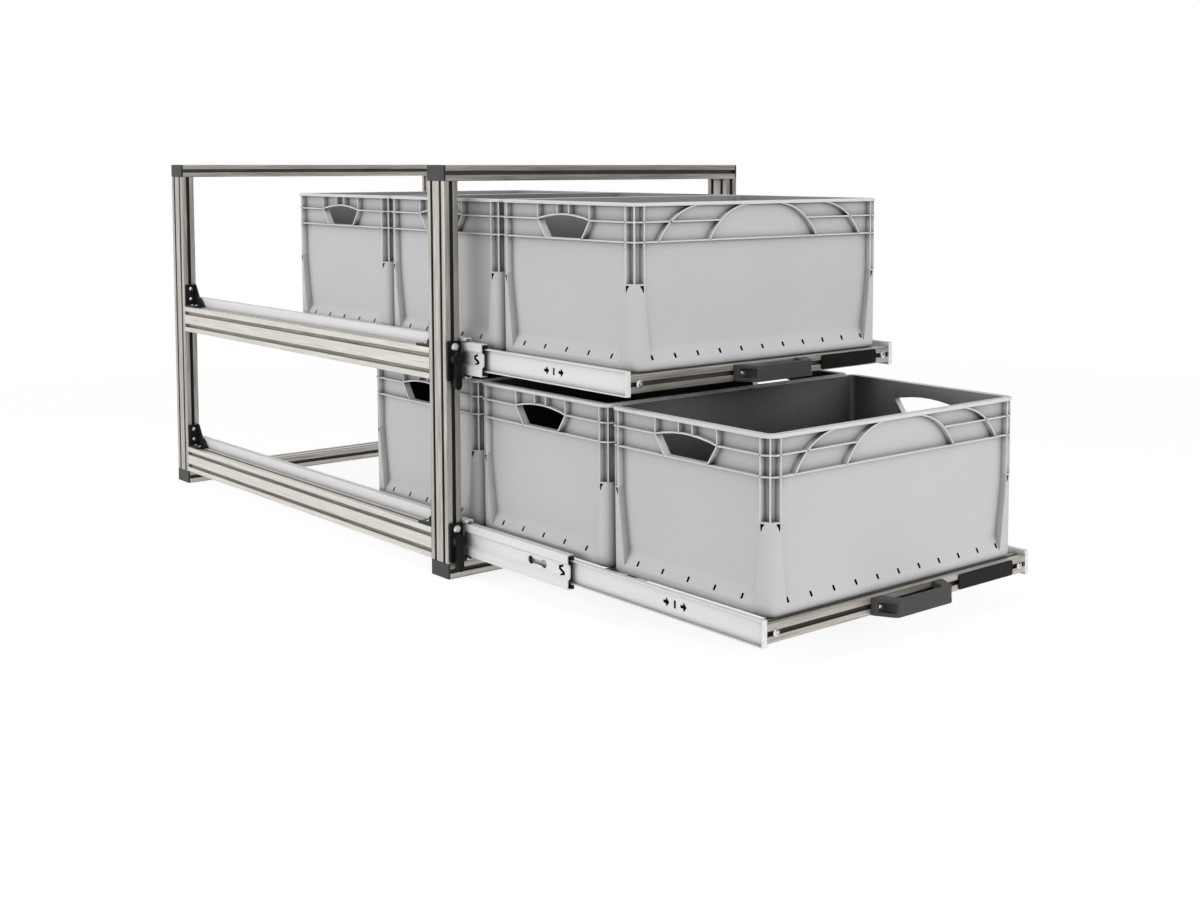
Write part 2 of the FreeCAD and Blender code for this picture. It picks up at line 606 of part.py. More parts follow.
def box_ribs():
    """The belt of ribs under the rim: upright, level and arched ones, clipped later by the cavity."""
    rim_low = "(box_tall - rim_tall)"
    low_rib = "(box_tall - low_rib_drop)"
    mid_rib = "(box_tall - mid_rib_drop)"
    foot_top = "(box_tall - foot_top_drop)"
    thick = "rib_thick"
    ribs = [slab("low_rib", "rib_inset", "box_corner - rib_inset", low_rib, f"({low_rib} + {thick})")]
    level = slab("mid_rib_ring", "rib_inset", "box_corner - rib_inset", mid_rib, f"({mid_rib} + {thick})")
    gap_half = f"(inner_arch + sqrt(arch_radius^2 - ({mid_rib} - {ARCH_CENTRE_Z})^2))"
    gap = block("mid_rib_gap", f"2 * {gap_half}", "box_short", thick, f"0 - {gap_half}", "0 - box_short / 2",
                mid_rib)
    ribs.append(cut("mid_rib", level, gap))
    across, along = "(box_short - 2 * rib_inset)", "(box_long - 2 * rib_inset)"
    corner_x = "(box_long / 2 - rib_inset - foot_narrow)"
    corner_y = "(box_short / 2 - rib_inset - foot_narrow)"
    for sign in (-1, 1):
        side = "low" if sign < 0 else "high"
        ribs.append(block(f"corner_rib_x_{side}", thick, across, f"{rim_low} - {foot_top}",
                          f"{sign} * {corner_x} - {thick} / 2", f"0 - {across} / 2", foot_top))
        ribs.append(block(f"corner_rib_y_{side}", along, thick, f"{rim_low} - {foot_top}",
                          f"0 - {along} / 2", f"{sign} * {corner_y} - {thick} / 2", foot_top))
        for place_name in ("side_rib_near", "side_rib_far"):
            ribs.append(block(f"{place_name}_{side}", along, thick, f"{rim_low} - {mid_rib}",
                              f"0 - {along} / 2", f"{sign} * {place_name} - {thick} / 2", mid_rib))
    arches = sketch("arch_lines")
    for sign in (-1, 1):
        for centre in ("outer_arch", "inner_arch"):
            arched_strip(arches, f"{sign} * {centre}", ARCH_CENTRE_Z, thick, low_rib, f"({rim_low} + 0.5)",
                         sign)
    ribs.append(place(extrusion("arches", arches, across), "0", f"{across} / 2", "0", STAND_TURN))
    return ribs


def box_form():
    """The stacking box: a sole and sloping ledge, a sunk panel, corner feet, a belt of ribs and a rim."""
    body = [
        flared("box_base", [("sole_inset", "box_corner - 4", "0"),
                            ("base_inset", "box_corner", "sole_bevel"),
                            ("base_inset", "box_corner", "ledge_low"),
                            ("panel_inset", "box_corner - 4", "ledge_top")]),
        slab("box_panel", "panel_inset", "box_corner - 4", "ledge_top", "(box_tall - rim_tall / 2)"),
        slab("box_rim", "0", "box_corner", "(box_tall - rim_tall)", "box_tall"),
    ]
    solid = fused("box_solid", body + [box_feet()] + box_ribs())
    cavity = slab("box_cavity", "(panel_inset + box_wall)", "box_corner - 6", "box_floor", "(box_tall + 1)")
    low, high = "(box_tall - low_rib_drop + rib_thick)", "(box_tall - mid_rib_drop)"
    grip = extrusion("grip_cut", outline(sketch("grip_outline"), [
        ("0 - grip_low_half", low), ("grip_low_half", low), ("grip_top_half", high),
        ("grip_top_half * 0.5", f"({high} + grip_crown)"),
        ("0 - grip_top_half * 0.5", f"({high} + grip_crown)"),
        ("0 - grip_top_half", high),
    ]), "box_long + 2")
    place(grip, "0 - box_long / 2 - 1", "0", "0", X_RAIL_TURN)
    return cut("box_form", solid, group("box_cutters", [cavity, grip]))


def make_boxes():
    form = box_form()
    for tier, facts in TIERS.items():
        front = f"{CLOSED_Y} - {facts['drawer_out']} + box_set_back"
        for order, seat in enumerate(("front", "middle", "rear")):
            middle = f"{front} + {order} * {BOX_PITCH} + box_short / 2"
            copy_of(f"{tier}_{seat}_box", form, "0", middle, f"{BOX_Z} + {facts['rise']}")


def lock_form():
    """The lock's housing, a plate on the post's front face."""
    return block("lock_form", "profile_narrow", "lock_thick", "lock_tall", f"0 - {FRAME_HALF}",
                 f"{FRONT_FACE} - lock_thick", "profile_narrow + lock_low")


def pivot_form():
    """The lever's pivot pin and its collar, on the housing's front."""
    face = f"({FRONT_FACE} - lock_thick)"
    pin = rod("pivot_pin", "pivot_diameter - 2 * pivot_clearance",
              "collar_thick + lock_gap + pivot_into_hub", f"0 - {POST_X}", face, LOCK_PIVOT_Z, STAND_TURN)
    collar = rod("pivot_collar", "collar_diameter", "collar_thick", f"0 - {POST_X}", face, LOCK_PIVOT_Z,
                 STAND_TURN)
    return fused("pivot_form", [pin, collar])


def lever_form():
    """A lock's lever: a round hub with a blind bore and a straight arm that hangs from it."""
    back = f"({FRONT_FACE} - lock_thick - collar_thick - lock_gap)"
    hub = rod("lever_hub", "hub_diameter", "lever_thick", f"0 - {POST_X}", back, LOCK_PIVOT_Z, STAND_TURN)
    arm = block("lever_arm", "arm_wide", "lever_thick", "arm_long", f"0 - {POST_X} - arm_wide / 2",
                f"{back} - lever_thick", f"{LOCK_PIVOT_Z} - arm_long")
    bore = rod("lever_bore", "pivot_diameter", "pivot_into_hub + lock_gap", f"0 - {POST_X}", back,
               LOCK_PIVOT_Z, STAND_TURN)
    return cut("lever_form", fused("lever_solid", [hub, arm]), bore)


def make_locks():
    """Per tier a housing, a pivot pin and a lever."""
    housing, pivot, lever = lock_form(), pivot_form(), lever_form()
    pivots = []
    for tier, facts in TIERS.items():
        rise = facts["rise"]
        copy_of(f"{tier}_lock_housing", housing, "0", "0", rise)
        copy_of(f"{tier}_lock_lever", lever, "0", "0", rise)
        pivots.append(place(group(f"{tier}_lock_pivot", [pivot]), "0", "0", rise))
    node("lock_pivots", group("lock_pivots", pivots))


make_frame_bars()
make_rail_end_caps()
make_brackets()
make_slides()
make_drawers()
make_boxes()
make_locks()
doc.recompute()

failed = [item.Name for item in doc.Objects if "Invalid" in item.State or "Error" in item.State]
if failed:
    raise RuntimeError(f"objects that did not build: {failed}")
for name, piece in nodes.items():
    if piece.Shape.isNull() or not piece.Shape.isValid() or not piece.Shape.Solids:
        raise RuntimeError(f"{name} has no valid solid")

os.makedirs("parts", exist_ok=True)
for name, piece in nodes.items():
    piece.Shape.exportStep(f"parts/{name}.step")
print(f"{len(nodes)} nodes written")
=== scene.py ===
import math

import bmesh
import bpy
import numpy as np
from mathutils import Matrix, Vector


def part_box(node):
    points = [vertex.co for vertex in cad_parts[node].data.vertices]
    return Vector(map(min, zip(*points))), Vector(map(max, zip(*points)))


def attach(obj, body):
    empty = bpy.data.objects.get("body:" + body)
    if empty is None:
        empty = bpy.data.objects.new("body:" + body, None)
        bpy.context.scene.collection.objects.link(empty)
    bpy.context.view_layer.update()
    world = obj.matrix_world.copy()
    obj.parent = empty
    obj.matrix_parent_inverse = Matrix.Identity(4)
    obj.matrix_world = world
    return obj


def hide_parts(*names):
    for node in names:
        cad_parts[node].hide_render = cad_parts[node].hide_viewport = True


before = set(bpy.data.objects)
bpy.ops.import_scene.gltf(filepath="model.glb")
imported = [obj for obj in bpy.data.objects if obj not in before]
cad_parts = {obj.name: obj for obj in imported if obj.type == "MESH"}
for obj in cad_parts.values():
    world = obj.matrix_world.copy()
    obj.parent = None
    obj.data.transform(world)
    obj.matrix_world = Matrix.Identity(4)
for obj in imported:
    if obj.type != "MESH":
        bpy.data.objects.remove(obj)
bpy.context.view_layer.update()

# Two-tier pull-out cabinet rack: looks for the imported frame. Metres, except where a name ends in _mm or an
# array is written in millimetres and multiplied by MM.
MM = 0.001
TIERS = ("lower", "upper")
SIDES = (("left", -1), ("right", 1))
SEATS = ("front", "middle", "rear")
POST_X = 0.350  # the posts' middle lines, left and right


# Surfaces

def grid(points, wrap_rows=False, wrap_columns=False):
    """A sheet through a table of points: each four neighbours (i, j), (i+1, j), (i+1, j+1), (i, j+1) make
    one face, and a wrapped direction joins its last line to its first."""
    points = np.asarray(points, float)
    rows, columns = points.shape[:2]
    i = np.arange(rows if wrap_rows else rows - 1)
    j = np.arange(columns if wrap_columns else columns - 1)
    a, b = np.meshgrid(i, j, indexing="ij")
    c, d = (a + 1) % rows, (b + 1) % columns
    faces = np.stack([a * columns + b, c * columns + b, c * columns + d, a * columns + d], -1)
    return points.reshape(-1, 3), faces.reshape(-1, 4).tolist()


def joined(parts):
    """Several (points, faces) pairs as one pair, each part's face numbers raised by the points before it."""
    points, faces, start = [], [], 0
    for part_points, part_faces in parts:
        points.append(np.asarray(part_points, float))
        faces += [[start + n for n in face] for face in part_faces]
        start += len(part_points)
    return np.concatenate(points), faces


def carried(profile, path, across, up, wrap=False):
    """A closed profile carried along a path: point (i, j) = path_i + a_j * across_i + b_j * up_i, where
    (a_j, b_j) is the profile. An open path's two ends are closed by the profile itself."""
    profile, path = np.asarray(profile, float), np.asarray(path, float)
    across = np.broadcast_to(np.asarray(across, float), path.shape)
    up = np.broadcast_to(np.asarray(up, float), path.shape)
    points = (path[:, None] + profile[None, :, :1] * across[:, None] + profile[None, :, 1:] * up[:, None])
    verts, faces = grid(points, wrap_rows=wrap, wrap_columns=True)
    if not wrap:
        count = len(profile)
        faces.append(list(range(count)))
        faces.append([len(verts) - count + n for n in reversed(range(count))])
    return verts, faces


def square_to(axis):
    """An axis and two directions that are square to it and to each other."""
    axis = np.asarray(axis, float)
    first = np.cross(axis, (0.0, 0.0, 1.0) if abs(axis[2]) < 0.9 else (1.0, 0.0, 0.0))
    first /= np.linalg.norm(first)
    return axis, first, np.cross(axis, first)


def turned(profile, centre, axis, sides=40):
    """A profile turned about an axis: point (t, k) = centre + r_k (cos t * a + sin t * b) + h_k * axis,
    where a and b are square to the axis and the profile (r, h) starts and ends on it."""
    axis, first, second = square_to(axis)
    t = np.linspace(0, 2 * math.pi, sides, endpoint=False)
    ring = np.cos(t)[:, None] * first + np.sin(t)[:, None] * second
    profile = np.asarray(profile, float)
    points = (np.asarray(centre, float) + profile[None, :, :1] * ring[:, None]
              + profile[None, :, 1:] * axis)
    return grid(points, wrap_rows=True)


def brick(low, high):
    """A block between two corners: a rectangle carried from its floor to its top."""
    low, high = np.minimum(low, high), np.maximum(low, high)
    corners = np.array([(low[0], low[1]), (high[0], low[1]), (high[0], high[1]), (low[0], high[1])])
    path = np.array([(0, 0, low[2]), (0, 0, high[2])])
    return carried(corners, path, (1, 0, 0), (0, 1, 0))


def prism(outline, start, end, across, up):
    """A flat outline carried straight from start to end."""
    return carried(outline, np.array([start, end], float), across, up)


def rounded_outline(half_x, half_y, radius, steps=6):
    """A rectangle's outline with round corners: four quarter circles about the corner centres."""
    turn = np.linspace(0, math.pi / 2, steps + 1)
    parts = []
    for quarter, (sx, sy) in enumerate(((1, 1), (-1, 1), (-1, -1), (1, -1))):
        angle = turn + quarter * math.pi / 2
        parts.append(np.stack([sx * (half_x - radius) + radius * np.cos(angle),
                               sy * (half_y - radius) + radius * np.sin(angle)], 1))
    return np.concatenate(parts)


# Pieces

def placed(name, data):
    """An object for a mesh, lamp or camera, put in the scene."""
    item = bpy.data.objects.new(name, data)
    bpy.context.scene.collection.objects.link(item)
    return item


def softened(mesh, smooth_deg):
    """Soft shading over all edges under an angle."""
    mesh.shade_smooth()
    mesh.set_sharp_from_angle(angle=math.radians(smooth_deg))
    return mesh


def mesh_of(name, shape, smooth_deg=32):
    """A mesh from (points, faces): doubles merged, faces turned outwards, soft shading under an angle."""
    points, faces = shape
    mesh = bpy.data.meshes.new(name)
    mesh.from_pydata(points.tolist(), [], faces)
    work = bmesh.new()
    work.from_mesh(mesh)
    bmesh.ops.remove_doubles(work, verts=work.verts, dist=2e-6)
    bmesh.ops.recalc_face_normals(work, faces=work.faces)
    work.to_mesh(mesh)
    work.free()
    return softened(mesh, smooth_deg)


def cut_by(mesh, cutter_shape):
    """A copy of a mesh with another closed shape taken out of it."""
    body = placed("blank", mesh)
    tool = placed("cutter", mesh_of("cutter", cutter_shape))
    step = body.modifiers.new("cut", "BOOLEAN")
    step.object = tool
    step.operation = "DIFFERENCE"
    step.solver = "EXACT"
    bpy.context.view_layer.update()
    result = bpy.data.meshes.new_from_object(body.evaluated_get(bpy.context.evaluated_depsgraph_get()))
    for item in (body, tool):
        bpy.data.objects.remove(item)
    return result


def shape_of(mesh):
    """A mesh's points and faces, to be joined with others."""
    points = np.empty(len(mesh.vertices) * 3, np.float32)
    mesh.vertices.foreach_get("co", points)
    return points.reshape(-1, 3).astype(float), [list(face.vertices) for face in mesh.polygons]


def piece(name, mesh, material, body, bevel_mm=0.0, segments=2, replaces=()):
    """Puts a finished mesh in the scene as one piece that rides on a body, in the place of CAD nodes."""
    item = placed(name, mesh)
    mesh.materials.clear()
    mesh.materials.append(material)
    if bevel_mm:
        edge_bevel(item, bevel_mm, segments)
    if replaces:
        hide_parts(*replaces)
    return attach(item, body)


# Finishes

def noise(nodes, links, vector, scale, detail, roughness=0.5):
    """Noise between 0 and 1 on given coordinates."""
    found = nodes.new("ShaderNodeTexNoise")
    found.inputs["Scale"].default_value = scale
    found.inputs["Detail"].default_value = detail
    found.inputs["Roughness"].default_value = roughness
    links.new(vector, found.inputs["Vector"])
    return found.outputs["Fac"]


def group_of(name, inputs, outputs):
    """An empty node group with named inputs (label, kind, value) and outputs (label, kind)."""
    tree = bpy.data.node_groups.new(name, "ShaderNodeTree")
    for label, kind, value in inputs:
        made = tree.interface.new_socket(label, in_out="INPUT", socket_type=kind)
        if value is not None:
            made.default_value = value
    for label, kind in outputs:
        tree.interface.new_socket(label, in_out="OUTPUT", socket_type=kind)
    return tree, tree.nodes.new("NodeGroupInput"), tree.nodes.new("NodeGroupOutput")


def blend(nodes, links, factor, first, second):
    """A colour between two, by a factor."""
    mix = nodes.new("ShaderNodeMix")
    mix.data_type = "RGBA"
    links.new(factor, mix.inputs["Factor"])
    for socket, value in (("A", first), ("B", second)):
        target = [s for s in mix.inputs if s.name == socket and s.type == "RGBA"][0]
        if isinstance(value, bpy.types.NodeSocket):
            links.new(value, target)
        else:
            target.default_value = (*value, 1)
    return [s for s in mix.outputs if s.type == "RGBA"][0]


def steps(nodes, links, value, low, high, out_low=0.0, out_high=1.0):
    """A value stretched from one range to another."""
    ramp = nodes.new("ShaderNodeMapRange")
    links.new(value, ramp.inputs["Value"])
    for socket, number in (("From Min", low), ("From Max", high), ("To Min", out_low), ("To Max", out_high)):
        ramp.inputs[socket].default_value = number
    return ramp.outputs["Result"]


def drawn_grain():
    """Streaks that run with a bar: noise on coordinates that are squeezed along it. Puts out a mask of
    streaks, a mask of wide soft bands and a height."""
    tree, inside, outside = group_of(
        "drawn_grain", [("Place", "NodeSocketVector", None)],
        [("Streaks", "NodeSocketFloat"), ("Bands", "NodeSocketFloat"), ("Height", "NodeSocketFloat")])
    nodes, links = tree.nodes, tree.links
    fine = noise(nodes, links, inside.outputs["Place"], 330, 3, 0.65)
    wide = noise(nodes, links, inside.outputs["Place"], 90, 2)
    links.new(steps(nodes, links, fine, 0.3, 0.7), outside.inputs["Streaks"])
    links.new(steps(nodes, links, wide, 0.35, 0.65), outside.inputs["Bands"])
    links.new(fine, outside.inputs["Height"])
    return tree


def moulded_skin():
    """The fine skin of a moulded or painted part: a small even grain, with a slow cloudy change."""
    tree, inside, outside = group_of(
        "moulded_skin", [("Place", "NodeSocketVector", None), ("Grain", "NodeSocketFloat", 1500.0)],
        [("Cloud", "NodeSocketFloat"), ("Height", "NodeSocketFloat")])
    nodes, links = tree.nodes, tree.links
    fine = noise(nodes, links, inside.outputs["Place"], 1500, 2)
    links.new(inside.outputs["Grain"], fine.node.inputs["Scale"])
    slow = noise(nodes, links, inside.outputs["Place"], 7, 3)
    links.new(steps(nodes, links, slow, 0.3, 0.7), outside.inputs["Cloud"])
    links.new(fine, outside.inputs["Height"])
    return tree


def painted_crevice_shade():
    """Painted shade: what a place keeps of its colour, all of it in the open, and less the more surfaces
    stand round it within the reach, down to the part left in the deepest corner. Puts out a mask."""
    tree, inside, outside = group_of(
        "painted_crevice_shade", [("Reach", "NodeSocketFloat", 0.02), ("Left", "NodeSocketFloat", 0.3)],
        [("Kept", "NodeSocketFloat")])
    nodes, links = tree.nodes, tree.links
    openness = nodes.new("ShaderNodeAmbientOcclusion")
    openness.samples = 12
    links.new(inside.outputs["Reach"], openness.inputs["Distance"])
    deepest, open_air = 0.15, 0.9
    kept = steps(nodes, links, openness.outputs["AO"], deepest, open_air)
    links.new(inside.outputs["Left"], kept.node.inputs["To Min"])
    links.new(kept, outside.inputs["Kept"])
    return tree


GRAIN = drawn_grain()
CREVICE_PAINTED_SHADE = painted_crevice_shade()
SKIN = moulded_skin()
SQUEEZE = 0.03  # scale of the grain's coordinates along a bar: streaks are 33 times as long as wide


def finish_of(name, metallic, roughness, specular=0.5):
    """A material with its shader, ready for its colour."""
    material = bpy.data.materials.new(name)
    material.use_nodes = True
    nodes, links = material.node_tree.nodes, material.node_tree.links
    shader = nodes["Principled BSDF"]
    shader.inputs["Metallic"].default_value = metallic
    shader.inputs["Roughness"].default_value = roughness
    shader.inputs["Specular IOR Level"].default_value = specular
    place = nodes.new("ShaderNodeTexCoord").outputs["Object"]
    return material, nodes, links, shader, place


def bumped(nodes, links, shader, height, strength, distance_mm):
    """Feeds a height to a shader's normal."""
    bump = nodes.new("ShaderNodeBump")
    bump.inputs["Strength"].default_value = strength
    bump.inputs["Distance"].default_value = distance_mm * MM
    links.new(height, bump.inputs["Height"])
    links.new(bump.outputs["Normal"], shader.inputs["Normal"])


def drawn_metal(name, dark, light, along, metallic, roughness, spread=0.12):
    """Extruded or rolled metal: streaks run along one axis, squeezed by the Mapping node's scale."""
    material, nodes, links, shader, place = finish_of(name, metallic, roughness)
    squeeze = nodes.new("ShaderNodeMapping")
    squeeze.inputs["Scale"].default_value = [SQUEEZE if axis == along else 1.0 for axis in "xyz"]
    links.new(place, squeeze.inputs["Vector"])
    grain = nodes.new("ShaderNodeGroup")
    grain.node_tree = GRAIN
    links.new(squeeze.outputs["Vector"], grain.inputs["Place"])
    middle = [(a + b) / 2 for a, b in zip(dark, light)]
    streaked = blend(nodes, links, grain.outputs["Streaks"], dark, light)
    bands = steps(nodes, links, grain.outputs["Bands"], 0, 1, 0.15, 0.75)
    soft = blend(nodes, links, bands, streaked, middle)
    links.new(soft, shader.inputs["Base Color"])
    low, high = roughness - spread / 2, roughness + spread / 2
    links.new(steps(nodes, links, grain.outputs["Streaks"], 0, 1, low, high), shader.inputs["Roughness"])
    bumped(nodes, links, shader, grain.outputs["Height"], 0.12, 0.05)
    return material


def moulded(name, dark, light, roughness, grain, bump_strength, specular):
    """Moulded plastic or paint with a fine skin."""
    material, nodes, links, shader, place = finish_of(name, 0.0, roughness, specular)
    skin = nodes.new("ShaderNodeGroup")
    skin.node_tree = SKIN
    skin.inputs["Grain"].default_value = grain
    links.new(place, skin.inputs["Place"])
    links.new(blend(nodes, links, skin.outputs["Cloud"], dark, light), shader.inputs["Base Color"])
    links.new(steps(nodes, links, skin.outputs["Cloud"], 0, 1, roughness - 0.04, roughness + 0.04),
              shader.inputs["Roughness"])
    bumped(nodes, links, shader, skin.outputs["Height"], bump_strength, 0.06)
    return material


# Each finish has a dark and a light colour, between which its grain or skin moves. The bars' colours go by
# the axis along which they lie: painted light, lighter and darker copies of one finish for how the light
# falls on each way.
PROFILE_PAINTED_LIGHT = {axis: drawn_metal(f"slotted_profile_painted_light_along_{axis}", dark, light, axis, 0.75, 0.40)
           for axis, dark, light in (("x", (0.24, 0.215, 0.185), (0.74, 0.70, 0.645)),
                                     ("y", (0.50, 0.475, 0.435), (0.80, 0.765, 0.72)),
                                     ("z", (0.17, 0.155, 0.133), (0.72, 0.685, 0.635)))}
# Painted shade: the slots' insides dark, less so along x and lightest along y, where more light falls in.
SLOT_PAINTED_SHADE = {axis: drawn_metal(f"slot_painted_shade_along_{axis}", dark, light, axis, 0.5, 0.5)
              for axis, dark, light in (("x", (0.020, 0.018, 0.015), (0.15, 0.135, 0.12)),
                                        ("y", (0.12, 0.11, 0.096), (0.50, 0.465, 0.42)),
                                        ("z", (0.010, 0.009, 0.008), (0.07, 0.063, 0.055)))}
SLIDE_STEEL = drawn_metal("zinc_slide_steel", (0.73, 0.732, 0.735), (0.80, 0.802, 0.805), "y",
                          0.1, 0.42, 0.08)
BRIGHT = drawn_metal("bright_steel", (0.62, 0.62, 0.63), (0.78, 0.78, 0.79), "z", 0.9, 0.24, 0.06)
# name, dark and light, roughness, grain, strength of the bump, specular level
BOX_GREY = moulded("light_grey_box", (0.545, 0.545, 0.555), (0.565, 0.565, 0.575), 0.58, 1300.0, 0.06, 0.25)
# Painted shade: the boxes' insides a darker grey than their outsides.
BOX_INSIDE_PAINTED_SHADE = moulded("box_inside_painted_shade", (0.35, 0.35, 0.356), (0.38, 0.38, 0.387), 0.6, 1300.0, 0.06, 0.2)
# Painted highlight: ribs and the rim's edge a lighter grey than the panels, as if more light fell on them.
BOX_RIB_PAINTED_HIGHLIGHT = moulded("box_rib_painted_highlight", (0.66, 0.66, 0.67), (0.68, 0.68, 0.69), 0.58, 1300.0, 0.06, 0.25)
HANDLE_BLACK = moulded("handle_dark_grey", (0.046, 0.046, 0.048), (0.06, 0.06, 0.062), 0.5, 1700.0, 0.2, 0.3)
CAP_BLACK = moulded("cap_black", (0.02, 0.02, 0.021), (0.03, 0.03, 0.031), 0.5, 1500.0, 0.2, 0.4)
CAGE_BLACK = moulded("cage_black", (0.006, 0.006, 0.006), (0.010, 0.010, 0.010), 0.55, 1500.0, 0.12, 0.2)
BRACKET_BLACK = moulded("bracket_black", (0.007, 0.007, 0.008), (0.012, 0.012, 0.013), 0.42, 1200.0,
                        0.2, 0.2)
LOCK_BLACK = moulded("lock_black", (0.004, 0.004, 0.005), (0.007, 0.007, 0.008), 0.42, 1500.0, 0.1, 0.15)
PLATE_BLACK = moulded("plate_black", (0.003, 0.003, 0.004), (0.006, 0.006, 0.007), 0.35, 1500.0, 0.05, 0.15)
# Painted shade: near black in the box walls' slits and notches and on sheets over the slides' cut-outs.
HOLLOW_PAINTED_SHADE = moulded("painted_shade_of_a_hollow", (0.004,) * 3, (0.006,) * 3, 0.8, 1500.0, 0.05, 0.0)


def paint_shade_in_crevices(material, reach_mm, left):
    """Paints shade into a material's colour: scales it by the crevice mask, with its reach and what is left
    in the deepest corner.
    """
    nodes, links = material.node_tree.nodes, material.node_tree.links
    colour = nodes["Principled BSDF"].inputs["Base Color"]
    crevice = nodes.new("ShaderNodeGroup")
    crevice.node_tree = CREVICE_PAINTED_SHADE
    crevice.inputs["Reach"].default_value = reach_mm * MM
    crevice.inputs["Left"].default_value = left
    scaled = nodes.new("ShaderNodeVectorMath")
    scaled.operation = "SCALE"
    links.new(colour.links[0].from_socket, scaled.inputs[0])
    links.new(crevice.outputs["Kept"], scaled.inputs["Scale"])
    links.new(scaled.outputs[0], colour)


# Painted shade: each colour darkened in corners, recesses and gaps by how closed in the place is, most of all
# inside the boxes.
paint_shade_in_crevices(BOX_GREY, 28, 0.15)
paint_shade_in_crevices(BOX_RIB_PAINTED_HIGHLIGHT, 15, 0.1)
paint_shade_in_crevices(BOX_INSIDE_PAINTED_SHADE, 500, 0.03)
paint_shade_in_crevices(SLIDE_STEEL, 18, 0.1)
for axis in "xyz":
    paint_shade_in_crevices(PROFILE_PAINTED_LIGHT[axis], 8, 0.35)


def edge_bevel(item, width_mm, segments):
    """Rounds an object's edges of more than 40 degrees."""
    edge = item.modifiers.new("edge", "BEVEL")
    edge.width = width_mm * MM
    edge.segments = segments
    edge.limit_method = "ANGLE"
    edge.angle_limit = math.radians(40)
    edge.harden_normals = True
    edge.use_clamp_overlap = True


def dress(node, material, bevel_mm=0.0):
    """Gives a CAD node its finish, and round edges where it gets a width."""
    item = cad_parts[node]
    item.data.materials.clear()
    item.data.materials.append(material)
    if bevel_mm:
        edge_bevel(item, bevel_mm, 3)


# Stacking boxes

# All in mm, from the middle of a box's sole.
BOX_LONG, BOX_SHORT = 300.0, 200.0  # half its length and width
CORNER = 24.0  # radius of its upright corners
RIB_ROOT, RIB_FACE = 14.2, 2.0  # insets of a rib's back and face
LOW_RIB, MID_RIB, RIM_LOW, FOOT_TOP = 218.2, 251.7, 278.0, 149.0  # heights
RIB_TOP = RIM_LOW + 0.6  # upright ribs end a little inside the rim
RIB_X, RIB_Y = 275.0, 175.0  # places of the upright ribs beside the corners
SLITS_ALONG_X, SLITS_ALONG_Y = np.linspace(-254.5, 254.5, 11), np.linspace(-129, 129, 5)  # places
SLIT_HALF, SLIT_LOW, SLIT_HIGH = 2.4, 19.5, 27.5  # half a slit's width, and its heights


